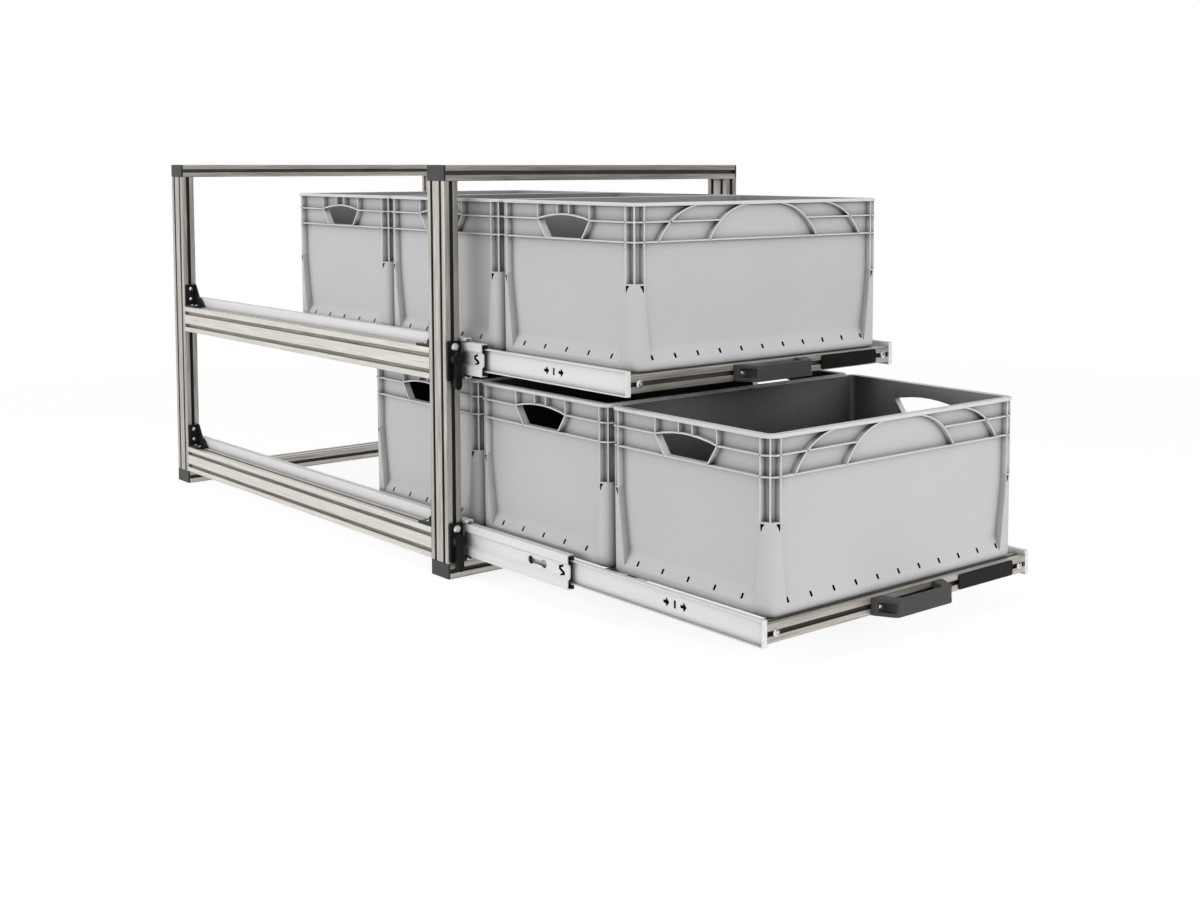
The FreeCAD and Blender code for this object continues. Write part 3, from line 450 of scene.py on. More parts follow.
def box_wall():
    """Rings of a round-cornered rectangle stacked from the middle of the sole, up the outside, over the
    rim and down the inside to the middle of the floor. On a side at distance D the point is (u, D - inset);
    in a corner it is the corner's centre + (24 - inset) (cos t, sin t). Between the feet the inset is the
    panel's; on a foot, whose inner edge moves with the height, it is the foot's."""
    rows = np.array([
        # height, inset of the panel, inset of the foot, width of the foot
        (0.0, 8.6, 8.6, 43), (0.5, 7.0, 7.0, 43), (2.0, 5.2, 5.2, 42.6), (4.6, 4.0, 4.0, 42),
        (8.0, 3.5, 3.5, 41.5), (14.0, 3.4, 3.4, 40.6), (15.6, 3.8, 3.4, 40.3), (36.8, 15.6, 3.3, 37.2),
        (38.4, 16.2, 3.2, 37.0), (42.0, 16.4, 3.2, 36.5), (60.0, 16.0, 3.1, 34.2), (80.0, 15.5, 3.0, 31.8),
        (100.0, 15.0, 2.9, 29.6), (120.0, 14.5, 2.8, 27.8), (138.0, 14.0, 2.6, 26.6),
        (148.4, 13.7, 2.5, 26.2), (149.2, 13.7, 3.3, 26.2), (149.25, 13.7, 13.7, 26.2),
        (200.0, 13.2, 13.2, 26.2),
        # the rim
        (277.9, 12.4, 12.4, 26.2), (278.0, 11.6, 11.6, 26.2), (278.0, 0.7, 0.7, 26.2),
        (278.4, 0.1, 0.1, 26.2), (279.2, 0.0, 0.0, 26.2), (282.8, 0.0, 0.0, 26.2), (283.7, 0.3, 0.3, 26.2),
        (284.0, 1.1, 1.1, 26.2),
        # down the inside
        (284.0, 13.9, 13.9, 26.2), (283.7, 14.8, 14.8, 26.2), (282.8, 15.2, 15.2, 26.2),
        (150.0, 16.4, 16.4, 26.2), (40.0, 18.8, 18.8, 26.2), (8.0, 19.2, 19.2, 26.2),
        (4.9, 20.0, 20.0, 26.2), (4.0, 22.0, 22.0, 26.2),
    ])
    z, panel, foot, wide = rows.T
    arc = np.linspace(0, math.pi / 2, 8)
    slope, margin = 1.2, 2.0  # run of a foot's inner edge, and the flat beside it
    sides = []
    for half, distance, angle in ((BOX_SHORT, BOX_LONG, 0), (BOX_LONG, BOX_SHORT, 90),
                                  (BOX_SHORT, BOX_LONG, 180), (BOX_LONG, BOX_SHORT, 270)):
        edge, inner = half - wide, half - wide - slope
        middle = np.linspace(-1, 1, 9)[None, :] * (inner[:, None] - margin)
        u = np.concatenate([-edge[:, None], -inner[:, None], middle, inner[:, None], edge[:, None]], 1)
        inset = np.repeat(panel[:, None], u.shape[1], 1)
        inset[:, 0] = inset[:, -1] = foot
        out = distance - inset
        bend = (half - CORNER + (CORNER - foot)[:, None] * np.sin(arc),
                distance - CORNER + (CORNER - foot)[:, None] * np.cos(arc))
        u, out = np.concatenate([u, bend[0]], 1), np.concatenate([out, bend[1]], 1)
        turn = math.radians(angle)
        sides.append(np.stack([out * math.cos(turn) - u * math.sin(turn),
                               out * math.sin(turn) + u * math.cos(turn)], -1))
    ring = np.concatenate(sides, 1)
    heights = np.repeat(z[:, None], ring.shape[1], 1)
    table = np.concatenate([ring, heights[..., None]], -1)
    pole = np.zeros((1, table.shape[1], 3))
    floor = pole + (0, 0, 4.0)
    return grid(np.concatenate([pole, table, floor]) * MM, wrap_columns=True)


def side_frame(side):
    """For one side of the box: the directions along it and outwards, and its distance from the middle."""
    return {
        "front": ((1, 0, 0), (0, -1, 0), BOX_SHORT),
        "back": ((-1, 0, 0), (0, 1, 0), BOX_SHORT),
        "right": ((0, 1, 0), (1, 0, 0), BOX_LONG),
        "left": ((0, -1, 0), (-1, 0, 0), BOX_LONG),
    }[side]


def rib(side, line, thick=2.4):
    """A rib on a side: a section from the panel out to the rib's face, a little thicker at its root, carried
    along a line that is drawn on the side as (u, z) points."""
    along, outward, distance = (np.asarray(v, float) for v in side_frame(side))
    line, upward = np.asarray(line, float), np.array([0, 0, 1.0])
    path = line[:, :1] * along + outward * (distance - RIB_ROOT) + line[:, 1:] * upward
    run = np.gradient(line, axis=0)
    run /= np.linalg.norm(run, axis=1, keepdims=True)
    across = -run[:, 1:] * along + run[:, :1] * upward
    taper, deep = 0.35, RIB_ROOT - RIB_FACE
    profile = [(-thick / 2 - taper, 0), (thick / 2 + taper, 0), (thick / 2, deep), (-thick / 2, deep)]
    return carried(np.array(profile) * MM, path * MM, across, outward)


def arch_line(centre, sign, radius=110.0, middle=169.0):
    """Part of a circle from the low rib to the rim: u = centre + sign * r cos t, z = middle + r sin t."""
    t = np.linspace(math.asin((LOW_RIB - middle) / radius), math.asin((RIB_TOP - middle) / radius), 18)
    return np.stack([centre + sign * radius * np.cos(t), middle + radius * np.sin(t)], 1)


def ring_rib(z, thick=2.4):
    """A level rib all the way round: its section carried along the round-cornered rectangle."""
    outline = rounded_outline(BOX_LONG - RIB_FACE, BOX_SHORT - RIB_FACE, CORNER - RIB_FACE, 7)
    centre = rounded_outline(BOX_LONG - RIB_ROOT, BOX_SHORT - RIB_ROOT, CORNER - RIB_ROOT, 7)
    outward = outline - centre
    reach = np.linalg.norm(outward, axis=1, keepdims=True)
    path = np.concatenate([centre, np.full((len(centre), 1), z)], 1)
    across = np.concatenate([outward / reach, np.zeros((len(centre), 1))], 1)
    deep = RIB_ROOT - RIB_FACE
    section = np.array([(0, -thick / 2 - 0.3), (deep, -thick / 2), (deep, thick / 2), (0, thick / 2 + 0.3)])
    return carried(section * MM, path * MM, across, (0, 0, 1), wrap=True)


def box_belt():
    """All the ribs under the rim: level ones, uprights, arches, and frames round the hand holes."""
    parts = [ring_rib(LOW_RIB)]
    for side in ("front", "back"):
        for sign in (-1, 1):
            parts.append(rib(side, [(sign * (BOX_LONG - 14), MID_RIB), (sign * 106.5, MID_RIB)]))
            parts.append(rib(side, [(sign * RIB_X, FOOT_TOP - 1), (sign * RIB_X, RIB_TOP)]))
            parts.append(rib(side, arch_line(sign * 145.0, sign)))
            parts.append(rib(side, arch_line(sign * 31.5, sign)))
    for side in ("left", "right"):
        hold = [(-53, LOW_RIB), (-75.6, 250), (-76, 252), (-60, 255.6), (-31, 259.6), (-10, 261),
                (10, 261), (31, 259.6), (60, 255.6), (76, 252), (75.6, 250), (53, LOW_RIB)]
        parts.append(rib(side, hold, 2.6))
        for sign in (-1, 1):
            parts.append(rib(side, [(sign * (BOX_SHORT - 14), MID_RIB), (sign * 77, MID_RIB)]))
            parts.append(rib(side, [(sign * RIB_Y, FOOT_TOP - 1), (sign * RIB_Y, RIB_TOP)]))
            parts.append(rib(side, [(sign * 17, 260.6), (sign * 17, RIB_TOP)]))
            parts.append(rib(side, [(sign * 76, MID_RIB), (sign * 76, RIB_TOP)]))
    for sx in (-1, 1):
        for sy in (-1, 1):
            parts.append(corner_ridge(sx, sy))
            parts.append(corner_bend(sx, sy))
    return parts


def corner_ridge(sx, sy):
    """The thin upright fin on a corner's diagonal: its section carried from the foot to the rim."""
    root = 17.4
    inner = np.array([sx * (BOX_LONG - root), sy * (BOX_SHORT - root), 0])
    outward = np.array([sx, sy, 0]) / math.sqrt(2)
    side = np.array([-sy, sx, 0]) / math.sqrt(2)
    path = np.array([inner + (0, 0, FOOT_TOP - 1), inner + (0, 0, RIB_TOP)])
    section = np.array([(-1.7, 0), (1.7, 0), (1.3, 12.5), (-1.3, 12.5)])
    return carried(section * MM, path * MM, side, outward)


def corner_bend(sx, sy):
    """The middle rib's turn round a corner: its section carried along a quarter circle."""
    turn = np.linspace(-0.08, math.pi / 2 + 0.08, 9)
    centre = np.array([BOX_LONG - CORNER, BOX_SHORT - CORNER, MID_RIB])
    outward = np.stack([np.cos(turn), np.sin(turn), np.zeros(9)], 1)
    root = 9.6
    path = (centre + outward * root) * (sx, sy, 1)
    deep = CORNER - RIB_FACE - root
    section = np.array([(0, -1.5), (deep, -1.2), (deep, 1.2), (0, 1.5)])
    return carried(section * MM, path * MM, outward * (sx, sy, 1), (0, 0, 1))


def grip_outline():
    """The hand hole's outline as (u, z): straight slanted flanks under a low arch."""
    return np.array([(-51.6, LOW_RIB + 1.2), (51.6, LOW_RIB + 1.2), (74.0, 249.8), (74.3, 251.3),
                     (59.6, 254.3), (30.8, 258.3), (10, 259.7), (-10, 259.7), (-30.8, 258.3), (-59.6, 254.3),
                     (-74.3, 251.3), (-74.0, 249.8)])


def box_cutters():
    """Hand holes through both short sides, blind slits in the ledge over the sole and notches at the tops of
    the feet: outlines and blocks carried straight into the wall."""
    parts = []
    notch = np.array([(16.2, 146.0), (24.0, 146.0), (24.0, 134.0), (22.0, 135.2), (20.0, 140.6)])
    for sign in (-1, 1):
        parts.append(prism(grip_outline() * MM, (sign * 0.27, 0, 0), (sign * 0.305, 0, 0),
                           (0, 1, 0), (0, 0, 1)))
        for u in SLITS_ALONG_X:
            parts.append(brick(np.array([u - SLIT_HALF, sign * 183, SLIT_LOW]) * MM,
                               np.array([u + SLIT_HALF, sign * 197.5, SLIT_HIGH]) * MM))
        for u in SLITS_ALONG_Y:
            parts.append(brick(np.array([sign * 283, u - SLIT_HALF, SLIT_LOW]) * MM,
                               np.array([sign * 297.5, u + SLIT_HALF, SLIT_HIGH]) * MM))
        for other in (-1, 1):
            along_x = (notch - (BOX_LONG, 0)) * (-sign, 1) * MM
            parts.append(prism(along_x, (0, other * 0.188, 0), (0, other * 0.1985, 0), (1, 0, 0), (0, 0, 1)))
            along_y = (notch - (BOX_SHORT, 0)) * (-other, 1) * MM
            parts.append(prism(along_y, (sign * 0.288, 0, 0), (sign * 0.2985, 0, 0), (0, 1, 0), (0, 0, 1)))
    return joined(parts)


def depth_in_wall(places):
    """How far (x, y) places in mm lie behind the box's round-cornered outline: beside a corner 24 mm less
    the distance from the corner's centre, elsewhere the distance from the nearest side."""
    past = np.abs(places) - (BOX_LONG - CORNER, BOX_SHORT - CORNER)
    return CORNER - np.where((past > 0).all(-1), np.hypot(past[:, 0], past[:, 1]), past.max(-1))


def wall_kinds(points, faces):
    """For each face of the wall 0 outside, 1 in a slit or notch, which takes painted shade, 2 inside the box,
    which takes painted shade, 3 on the rim's edge, which takes a painted highlight, told by its length and by
    the height and depth of its middle. A notch's faces lie within 24.4 mm of both of a corner's sides, which
    tells them from the feet's inner edges."""
    middle = np.array([points[face].mean(0) for face in faces]) / MM
    span = np.array([np.ptp(points[face], axis=0).max() for face in faces]) / MM
    z, depth = middle[:, 2], depth_in_wall(middle[:, :2])
    slit = (abs(z - 23.5) < 4.2) & (span < 15.5) & (depth > 5) & (depth < 17.1)
    near_corner = ((BOX_LONG, BOX_SHORT) - np.abs(middle[:, :2])).max(1) < 24.4
    notch = (abs(z - 140) < 6.4) & (span < 12.6) & (depth > 4.2) & (depth < 12.3) & near_corner
    inside = ((z > 8) & (depth > np.interp(z, (42, 283), (17.6, 14.4)))) | ((z > 3) & (depth > 19.1))
    rim = (z > 277.9) & ~inside
    return np.select([inside, slit | notch, rim], [2, 1, 3], 0).tolist()


def make_boxes():
    """The wall with its cuts and the belt of ribs, put in each box's place. Slots: 0 grey, 1 painted shade in
    a hollow, 2 inside, darker with painted shade, 3 rim and ribs, lighter with a painted highlight."""
    wall = shape_of(cut_by(mesh_of("box_wall", box_wall()), box_cutters()))
    kinds = wall_kinds(*wall)
    whole = joined([wall] + box_belt())
    kinds += [3] * (len(whole[1]) - len(kinds))
    for tier in TIERS:
        for seat in SEATS:
            node = f"{tier}_{seat}_box"
            low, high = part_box(node)
            centre = np.array([(low.x + high.x) / 2, (low.y + high.y) / 2, low.z])
            mesh = mesh_of(f"{node}_moulding", (whole[0] + centre, whole[1]), 40)
            piece(f"{node}_moulding", mesh, BOX_GREY, node, 0.5, 2, (node,))
            for material in (HOLLOW_PAINTED_SHADE, BOX_INSIDE_PAINTED_SHADE, BOX_RIB_PAINTED_HIGHLIGHT):
                mesh.materials.append(material)
            mesh.polygons.foreach_set("material_index", kinds)


# Screws

def pan_head(radius_mm, tall_mm, centre, axis, recess="cross"):
    """A screw's head: a straight rim up to 0.45 of its height and over it a dome, r = R sin t / sin T and
    h in step with cos t, from t = T at the rim to 0, with a driver's recess cut in."""
    widest, rim = 1.25, 0.45
    t = np.linspace(widest, 0, 7)
    rise = (np.cos(t) - math.cos(widest)) / (1 - math.cos(widest))
    dome = np.stack([radius_mm * np.sin(t) / math.sin(widest), tall_mm * (rim + (1 - rim) * rise)], 1)
    profile = np.concatenate([[(0, -0.3), (radius_mm, -0.3)], dome])
    mesh = mesh_of("head", turned(profile * MM, centre, axis, 36), 35)
    axis, first, second = square_to(axis)
    base = np.asarray(centre, float) + axis * tall_mm * 0.5 * MM
    tip = np.asarray(centre, float) + axis * (tall_mm + 1.0) * MM
    if recess == "cross":
        arm, half = radius_mm * 0.52, radius_mm * 0.11
        star = np.array([(half, half), (half, arm), (-half, arm), (-half, half), (-arm, half), (-arm, -half),
                         (-half, -half), (-half, -arm), (half, -arm), (half, -half), (arm, -half),
                         (arm, half)])
    else:
        t = np.linspace(0, 2 * math.pi, 6, endpoint=False)
        star = np.stack([np.cos(t), np.sin(t)], 1) * radius_mm * 0.5
    return shape_of(cut_by(mesh, prism(star * MM, base, tip, first, second)))


def make_screws():
    """Pan heads on the brackets, bolts on the front bars, screws in the handles' pockets."""
    bolt_x, pocket_x = 0.297, 0.0745
    on_post, on_rail = (0.018, 0.0426), (0.013, 0.035)  # the bracket screws' heights and distances
    heads = []
    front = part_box("front_left_post")[1].y
    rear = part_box("rear_left_post")[0].y
    leaf = 0.004  # the brackets' thickness
    for tier in TIERS:
        rail_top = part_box(f"{tier}_left_side_rail")[1].z
        for _, sign in SIDES:
            x = sign * POST_X
            for y, out in ((front, 1), (rear, -1)):
                for rise in on_post:
                    heads.append(pan_head(4.2, 2.4, (x, y + out * leaf, rail_top + rise), (0, out, 0)))
                for reach in on_rail:
                    heads.append(pan_head(4.2, 2.4, (x, y + out * reach, rail_top + leaf), (0, 0, 1)))
    piece("bracket_screws", mesh_of("bracket_screws", joined(heads)), BRIGHT, "frame")
    for tier in TIERS:
        bar_low, bar_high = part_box(f"{tier}_front_bar")
        z = (bar_low.z + bar_high.z) / 2
        bolts = [pan_head(6.4, 3.6, (sign * bolt_x, bar_low.y, z), (0, -1, 0), "hex") for _, sign in SIDES]
        pocket_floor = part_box(f"{tier}_handle")[0].y + 0.032
        bolts += [pan_head(4.4, 3.0, (sign * pocket_x, pocket_floor, z), (0, -1, 0)) for _, sign in SIDES]
        piece(f"{tier}_drawer_screws", mesh_of(f"{tier}_drawer_screws", joined(bolts)), BRIGHT,
              f"{tier}_drawer")


# Handles and plates

def make_handles():
    """A bow's plan, in mm from the bar's face, carried straight up, with a square pocket let into each
    slanted end."""
    plan = np.array([(-87, 0), (-85.5, -7), (-69, -38.5), (-63, -42), (63, -42), (69, -38.5), (85.5, -7),
                     (87, 0), (64, 0), (55, -26), (52, -31.5), (47, -33.5), (-47, -33.5), (-52, -31.5),
                     (-55, -26), (-64, 0)])
    half = 14.5 * MM
    for tier in TIERS:
        low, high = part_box(f"{tier}_handle")
        base = np.array([0, high.y, (low.z + high.z) / 2])
        body = mesh_of("bow", prism(plan * MM, base - (0, 0, half), base + (0, 0, half),
                                    (1, 0, 0), (0, 1, 0)))
        pockets = [brick(base + np.array([sign * 66.5, -44, -8.2]) * MM,
                         base + np.array([sign * 82.0, -10, 8.2]) * MM) for _, sign in SIDES]
        mesh = softened(cut_by(body, joined(pockets)), 28)
        piece(f"{tier}_bow_handle", mesh, HANDLE_BLACK, f"{tier}_drawer", 1.3, 4,
              (f"{tier}_handle",))


def make_plates():
    """A bare plate: a round-cornered slab with nothing on its face but a fine raised border, a section
    carried round inside its edge."""
    for tier in TIERS:
        low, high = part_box(f"{tier}_badge_plate")
        middle = np.array([(low.x + high.x) / 2, high.y, (low.z + high.z) / 2])
        slab = prism(rounded_outline(73, 13, 4, 8) * MM, middle, middle - (0, 0.0021, 0),
                     (1, 0, 0), (0, 0, 1))
        path = rounded_outline(71.6, 11.6, 2.8, 8)
        away = np.gradient(np.concatenate([path[-1:], path, path[:1]]), axis=0)[1:-1]
        away = np.stack([away[:, 1], -away[:, 0]], 1)
        away /= np.linalg.norm(away, axis=1, keepdims=True)
        line = np.stack([path[:, 0], np.zeros(len(path)), path[:, 1]], 1) * MM + middle - (0, 0.0019, 0)
        across = np.stack([away[:, 0], np.zeros(len(path)), away[:, 1]], 1)
        border = carried(np.array([(-0.5, 0), (0.5, 0), (0.35, 0.55), (-0.35, 0.55)]) * MM, line, across,
                         (0, -1, 0), wrap=True)
        mesh = mesh_of(f"{tier}_plate", joined([slab, border]))
        piece(f"{tier}_plate", mesh, PLATE_BLACK, f"{tier}_drawer", 0.2, 2,
              (f"{tier}_badge_plate",))


# Locks

def make_locks():
    """Housing with a small blind hole, screw with a cross, collar round the pivot, and a lever: a hub turned
    about the pivot and an arm carried along it."""
    hardware, collars = [], []
    collar = np.array([(0, 0), (14, 0), (14, 0.9), (13.7, 1.2), (0, 1.2)]) * MM
    arm = np.array([(-6.5, 0), (-6.5, -52), (-4.5, -56.4), (0, -58), (4.5, -56.4), (6.5, -52),
                    (6.5, 0)]) * MM
    for tier in TIERS:
        low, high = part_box(f"{tier}_lock_housing")
        middle = np.array([(low.x + high.x) / 2, high.y, (low.z + high.z) / 2])
        half_x, half_z = (high.x - low.x) / 2, (high.z - low.z) / 2
        slab = mesh_of("slab", prism(rounded_outline(half_x, half_z, 0.004, 6), middle,
                                     middle - (0, high.y - low.y, 0), (1, 0, 0), (0, 0, 1)))
        dot = np.array([low.x + 0.006, low.y - 0.001, low.z + 0.015])
        hole = turned(np.array([(0, 0), (1.6, 0), (1.6, 5), (0, 5)]) * MM, dot, (0, 1, 0), 20)
        mesh = softened(cut_by(slab, hole), 30)
        piece(f"{tier}_lock_case", mesh, LOCK_BLACK, "frame", 0.8, 3, (f"{tier}_lock_housing",))
        rail_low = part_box(f"{tier}_left_side_rail")[0].z
        pivot_z, screw_z = rail_low + 0.044, rail_low + 0.0655
        hardware.append(pan_head(7.5, 3.2, (-POST_X, low.y, screw_z), (0, -1, 0)))
        collars.append(turned(collar, (-POST_X, low.y, pivot_z), (0, -1, 0), 48))
        lever_low, lever_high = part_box(f"{tier}_lock_lever")
        back, front = lever_high.y, lever_low.y
        deep = (back - front) / MM
        hub = np.array([(0, 0), (11.4, 0), (12, 0.6), (12, deep - 2.0), (11.2, deep - 0.8),
                        (9.4, deep - 0.2), (6.0, deep), (0, deep)]) * MM
        start = np.array([-POST_X, back - 0.0006, pivot_z])
        parts = [turned(hub, (-POST_X, back, pivot_z), (0, -1, 0), 48),
                 prism(arm, start, start - (0, (deep - 1.6) * MM, 0), (1, 0, 0), (0, 0, 1))]
        mesh = mesh_of(f"{tier}_lever", joined(parts), 30)
        piece(f"{tier}_lever", mesh, LOCK_BLACK, f"{tier}_lock_lever", 0.5, 2,
              (f"{tier}_lock_lever",))
    piece("lock_screws", mesh_of("lock_screws", joined(hardware)), BRIGHT, "frame")
    piece("lock_collars", mesh_of("lock_collars", joined(collars)), LOCK_BLACK, "frame", 0, 2,
          ("lock_pivots",))


# Slotted bars

# One T-slot in mm: (distance along the side, depth).
SLOT = np.array([(-4.5, 0), (-4.1, 0.4), (-4.1, 2.2), (-8.25, 2.2), (-8.25, 4.6), (-4, 9), (4, 9),
                 (8.25, 4.6), (8.25, 2.2), (4.1, 2.2), (4.1, 0.4), (4.5, 0)])
BEHIND_LIPS = [0, 0] + [1] * 7 + [0] * 3  # which of a slot's edges lie behind its lips


def slotted_outline(half_x, half_y, slots_x):
    """A slotted bar's outline: along each side its T-slots about their places, and between two sides a
    quarter circle. Also tells which of its edges lie behind a slot's lips."""
    points, deep = [], []
    radius = 1.5
    turn = np.linspace(0, math.pi / 2, 4)[:, None]
    for normal, along, reach, run, slots in (
            ((0, -1), (1, 0), half_y, half_x, slots_x), ((1, 0), (0, 1), half_x, half_y, (0,)),
            ((0, 1), (-1, 0), half_y, half_x, slots_x), ((-1, 0), (0, -1), half_x, half_y, (0,))):
        normal, along = np.array(normal, float), np.array(along, float)
        for centre in slots:
            points.append((centre + SLOT[:, :1]) * along + (reach - SLOT[:, 1:]) * normal)
            deep += BEHIND_LIPS
        corner = along * (run - radius) + normal * (reach - radius)
        points.append(corner + radius * (np.sin(turn) * along + np.cos(turn) * normal))
        deep += [0] * len(turn)
    return np.concatenate(points) * MM, deep


def make_bar(node, axis, wide, body):
    """One slotted bar in a node's place: its outline carried along the axis, its broad way along wide."""
    low, high = (np.array(corner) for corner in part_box(node))
    run, broad = "xyz".index(axis), "xyz".index(wide)
    narrow = 3 - run - broad
    half = (high - low) / 2 / MM
    slots = (-15, 15) if half[broad] > 20 else (0,)
    outline, deep = slotted_outline(half[broad], half[narrow], slots)
    start = (low + high) / 2
    end = start.copy()
    start[run], end[run] = low[run], high[run]
    mesh = mesh_of(f"{node}_profile", prism(outline, start, end, np.eye(3)[broad], np.eye(3)[narrow]), 25)
    item = piece(f"{node}_profile", mesh, PROFILE_PAINTED_LIGHT[axis], body, 0, 2, (node,))
    # Painted shade: faces behind a slot's lips take the slot's dark finish.
    item.data.materials.append(SLOT_PAINTED_SHADE[axis])
    item.data.polygons.foreach_set("material_index", deep + [0, 0])


def make_bars():
    """The frame's posts and rails and the drawers' bars."""
    for end in ("front", "rear"):
        for side, _ in SIDES:
            make_bar(f"{end}_{side}_post", "z", "y", "frame")
        for level in ("top", "base"):
            make_bar(f"{level}_{end}_rail", "x", "y", "frame")
    for tier in TIERS:
        for side, _ in SIDES:
            make_bar(f"{tier}_{side}_side_rail", "y", "z", "frame")
        for bar in ("front", "second", "third", "rear"):
            make_bar(f"{tier}_{bar}_bar", "x", "y", f"{tier}_drawer")


# Slides and frame

def filled(outline, start_x, end_x, front_y, middle_z):
    """A cut-out's outline, in mm behind a member's front and above its middle, carried across its web."""
    places = np.asarray(outline, float) * MM + (front_y, middle_z)
    return prism(places, (start_x, 0, 0), (end_x, 0, 0), (0, 1, 0), (0, 0, 1))


def make_slide_hole_shade():
    """Painted shade for the slides' cut-outs: dark sheets a little broader than them and 0.1 mm proud of the
    web.
    """
    arrow = np.array([(-7.6, 0), (-0.8, 7), (0.8, 7), (0.8, 2.7), (7.4, 2.7), (7.4, -2.7), (0.8, -2.7),
                      (0.8, -7), (-0.8, -7)])
    bar = np.array([(-2.4, -6.4), (2.4, -6.4), (2.4, 6.4), (-2.4, 6.4)])
    hook = np.array([(18.4, 10.6), (31.8, 6.8), (31.8, 0.4), (20.6, -5.2), (27.6, -7.4), (27.6, -10.6),
                     (14.2, -7.6), (14.2, -2.4), (25.8, 3.4), (25.8, 4.4), (18.4, 6.6)])
    inner_web, middle_web = (0.3171, 0.3152), (0.3269, 0.3250)  # outer and inner ends of the painted-shade sheets in x
    for tier in TIERS:
        for side, sign in SIDES:
            low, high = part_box(f"{tier}_{side}_inner_slide")
            z = (low.z + high.z) / 2
            parts = [filled(shape, sign * inner_web[0], sign * inner_web[1], low.y, z)
                     for shape in (arrow + (192, 0), bar + (213.5, 0), arrow + (235, 0))]
            name = f"{tier}_{side}_arrow_painted_shade"
            piece(name, mesh_of(name, joined(parts)), HOLLOW_PAINTED_SHADE, f"{tier}_drawer")
            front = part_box(f"{tier}_{side}_middle_slide")[0].y
            part = filled(hook, sign * middle_web[0], sign * middle_web[1], front, z)
            name = f"{tier}_{side}_hook_painted_shade"
            piece(name, mesh_of(name, part), HOLLOW_PAINTED_SHADE, f"{tier}_{side}_middle")


def dress_frame():
    """Finishes of the CAD nodes that stay as they are."""
    dress("rail_end_caps", CAP_BLACK)
    dress("corner_brackets", BRACKET_BLACK)
    for tier in TIERS:
        for side, _ in SIDES:
            for member in ("outer_slide", "middle_slide", "inner_slide"):
                dress(f"{tier}_{side}_{member}", SLIDE_STEEL, 0.9)
            dress(f"{tier}_{side}_ball_cages", CAGE_BLACK)
        dress(f"{tier}_bar_angles", BRACKET_BLACK)


# Studio

def seen_directly(nodes, links):
    """1 for rays from the camera, off a mirror and through glass, 0 for the rest."""
    path = nodes.new("ShaderNodeLightPath")
    value = path.outputs["Is Camera Ray"]
    for kind in ("Is Glossy Ray", "Is Transmission Ray"):
        either = nodes.new("ShaderNodeMath")
        either.operation = "MAXIMUM"
        links.new(value, either.inputs[0])
        links.new(path.outputs[kind], either.inputs[1])
        value = either.outputs[0]
    return value


def make_world():
    """White where it is seen. Where it only lights, it is bright below and round the horizon and fades
    upwards."""
    world = bpy.data.worlds.new("studio")
    bpy.context.scene.world = world
    world.use_nodes = True
    nodes, links = world.node_tree.nodes, world.node_tree.links
    background = nodes["Background"]
    background.inputs["Color"].default_value = (1, 1, 1, 1)
    split = nodes.new("ShaderNodeSeparateXYZ")
    links.new(nodes.new("ShaderNodeTexCoord").outputs["Generated"], split.inputs[0])
    ring = steps(nodes, links, split.outputs["Z"], 0.10, 0.50, 2.4, 0.10)
    ring.node.interpolation_type = "SMOOTHSTEP"
    strength = nodes.new("ShaderNodeMix")
    links.new(seen_directly(nodes, links), strength.inputs["Factor"])
    links.new(ring, strength.inputs["A"])
    strength.inputs["B"].default_value = 1.0
    links.new(strength.outputs["Result"], background.inputs["Strength"])


def make_floor():
    """Pale paper that keeps the shadow near the rack and turns to plain white further out. Its glow makes
    it pale where it is seen, and lights the rack weakly from below."""
    floor = placed("floor", mesh_of("floor", brick((-14, -14, -0.02), (14, 14, -0.0005))))
    paper = bpy.data.materials.new("pale_floor")
    paper.use_nodes = True
    nodes, links = paper.node_tree.nodes, paper.node_tree.links
    shader = nodes["Principled BSDF"]
    shader.inputs["Base Color"].default_value = (0.40, 0.40, 0.40, 1)
    shader.inputs["Roughness"].default_value = 0.95
    shader.inputs["Specular IOR Level"].default_value = 0.0
    seen = seen_directly(nodes, links)
    shader.inputs["Emission Color"].default_value = (1, 1, 1, 1)
    links.new(steps(nodes, links, seen, 0, 1, 0.25, 0.80), shader.inputs["Emission Strength"])
    place = nodes.new("ShaderNodeTexCoord").outputs["Object"]
    reach = nodes.new("ShaderNodeVectorMath")
    reach.operation = "DISTANCE"
    reach.inputs[1].default_value = (0, 0.1, 0)
    links.new(place, reach.inputs[0])
    far = steps(nodes, links, reach.outputs["Value"], 1.5, 3.6)
    far.node.interpolation_type = "SMOOTHSTEP"
    white = nodes.new("ShaderNodeEmission")
    links.new(seen, white.inputs["Strength"])
    mix = nodes.new("ShaderNodeMixShader")
    links.new(far, mix.inputs[0])
    links.new(shader.outputs[0], mix.inputs[1])
    links.new(white.outputs[0], mix.inputs[2])
    links.new(mix.outputs[0], nodes["Material Output"].inputs["Surface"])
    floor.data.materials.append(paper)


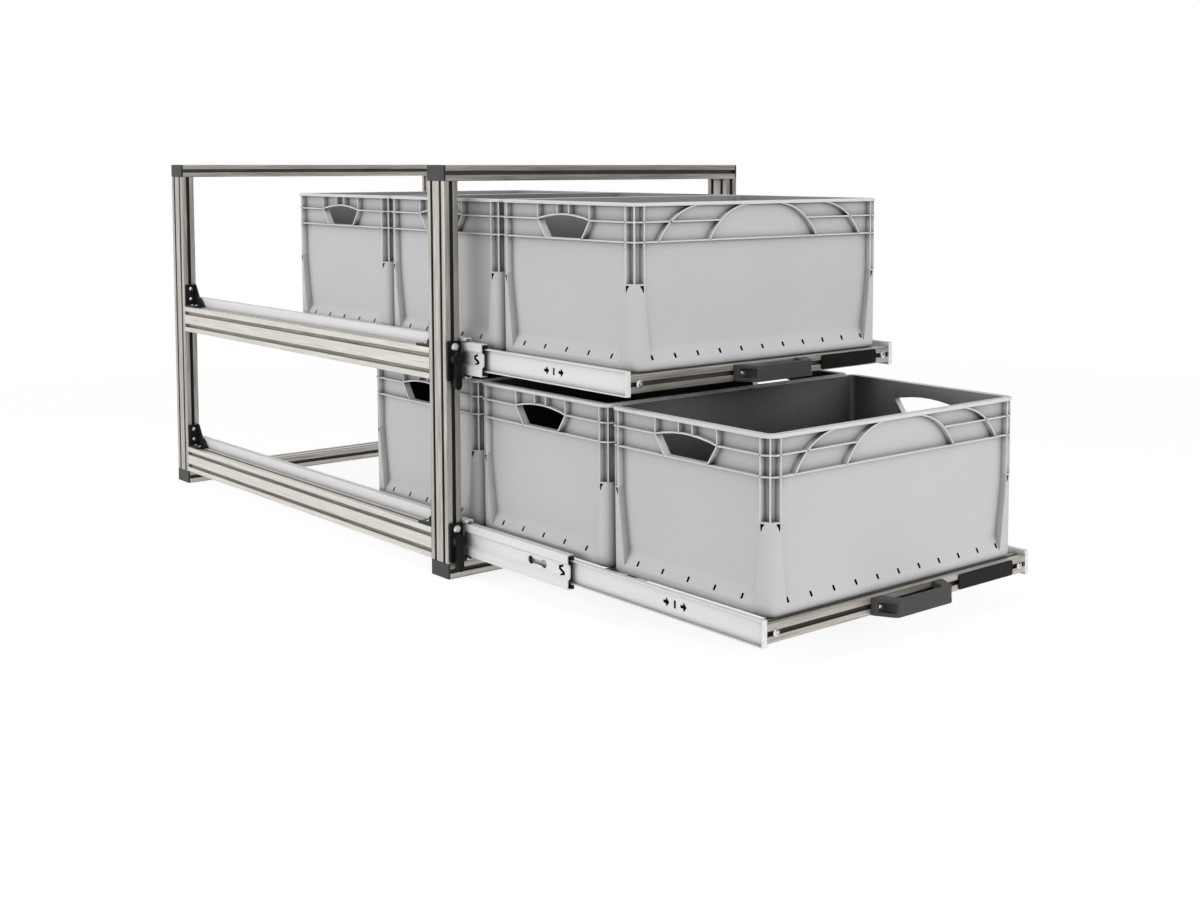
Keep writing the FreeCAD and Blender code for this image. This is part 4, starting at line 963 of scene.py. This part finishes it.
def make_flag():
    """A black flag that only reflections see: it keeps the front faces of metal and gloss dark."""
    flag = placed("flag", mesh_of("flag", brick((-2.1, -0.01, 0.0), (2.1, 0.01, 2.6))))
    flag.location = (3.0, -3.3, 0.0)
    flag.rotation_euler = (0, 0, math.radians(48))
    cloth = finish_of("black_cloth", 0.0, 1.0, 0.0)[0]
    cloth.node_tree.nodes["Principled BSDF"].inputs["Base Color"].default_value = (0.01, 0.01, 0.01, 1)
    flag.data.materials.append(cloth)
    for ray in ("camera", "diffuse", "shadow", "transmission"):
        setattr(flag, "visible_" + ray, False)


def aimed(item, place, look):
    """Puts a lamp or camera in its place, its front along a direction."""
    item.location = place
    item.rotation_euler = look.to_track_quat("-Z", "Y").to_euler()


def make_studio():
    """World, floor, flag, three soft lamps and the camera. The camera was fitted to the object's corners; its
    shift keeps upright edges nearly parallel."""
    make_world()
    make_floor()
    make_flag()
    for name, place, wide, tall, watts, aim, mirrored in (
        ("left_softbox", (-3.6, 1.6, 1.3), 2.6, 1.6, 33, (0, 0.1, 0.4), True),
        ("top_softbox", (-0.8, -0.6, 3.4), 2.4, 2.4, 34, (0, -0.2, 0.4), True),
        ("front_softbox", (0.2, -4.0, 1.2), 2.0, 1.4, 41, (0, -0.6, 0.3), False),
    ):
        lamp = bpy.data.lights.new(name, "AREA")
        lamp.shape = "RECTANGLE"
        lamp.energy = watts
        lamp.size, lamp.size_y = wide, tall
        holder = placed(name, lamp)
        aimed(holder, place, Vector(aim) - Vector(place))
        holder.visible_glossy = mirrored

    camera = bpy.data.cameras.new("camera")
    camera.sensor_width = 36
    camera.lens = 46.543
    camera.shift_x, camera.shift_y = -0.10311, -0.15
    camera.clip_start, camera.clip_end = 0.1, 60
    holder = placed("camera", camera)
    yaw, pitch = math.radians(41.820), math.radians(3.902)
    look = Vector((math.sin(yaw) * math.cos(pitch), math.cos(yaw) * math.cos(pitch), -math.sin(pitch)))
    aimed(holder, (-1.89234, -2.51191, 0.77926), look)
    bpy.context.scene.camera = holder
    bpy.context.scene.view_settings.view_transform = "Standard"


dress_frame()
make_bars()
make_boxes()
make_screws()
make_handles()
make_plates()
make_locks()
make_slide_hole_shade()
make_studio()
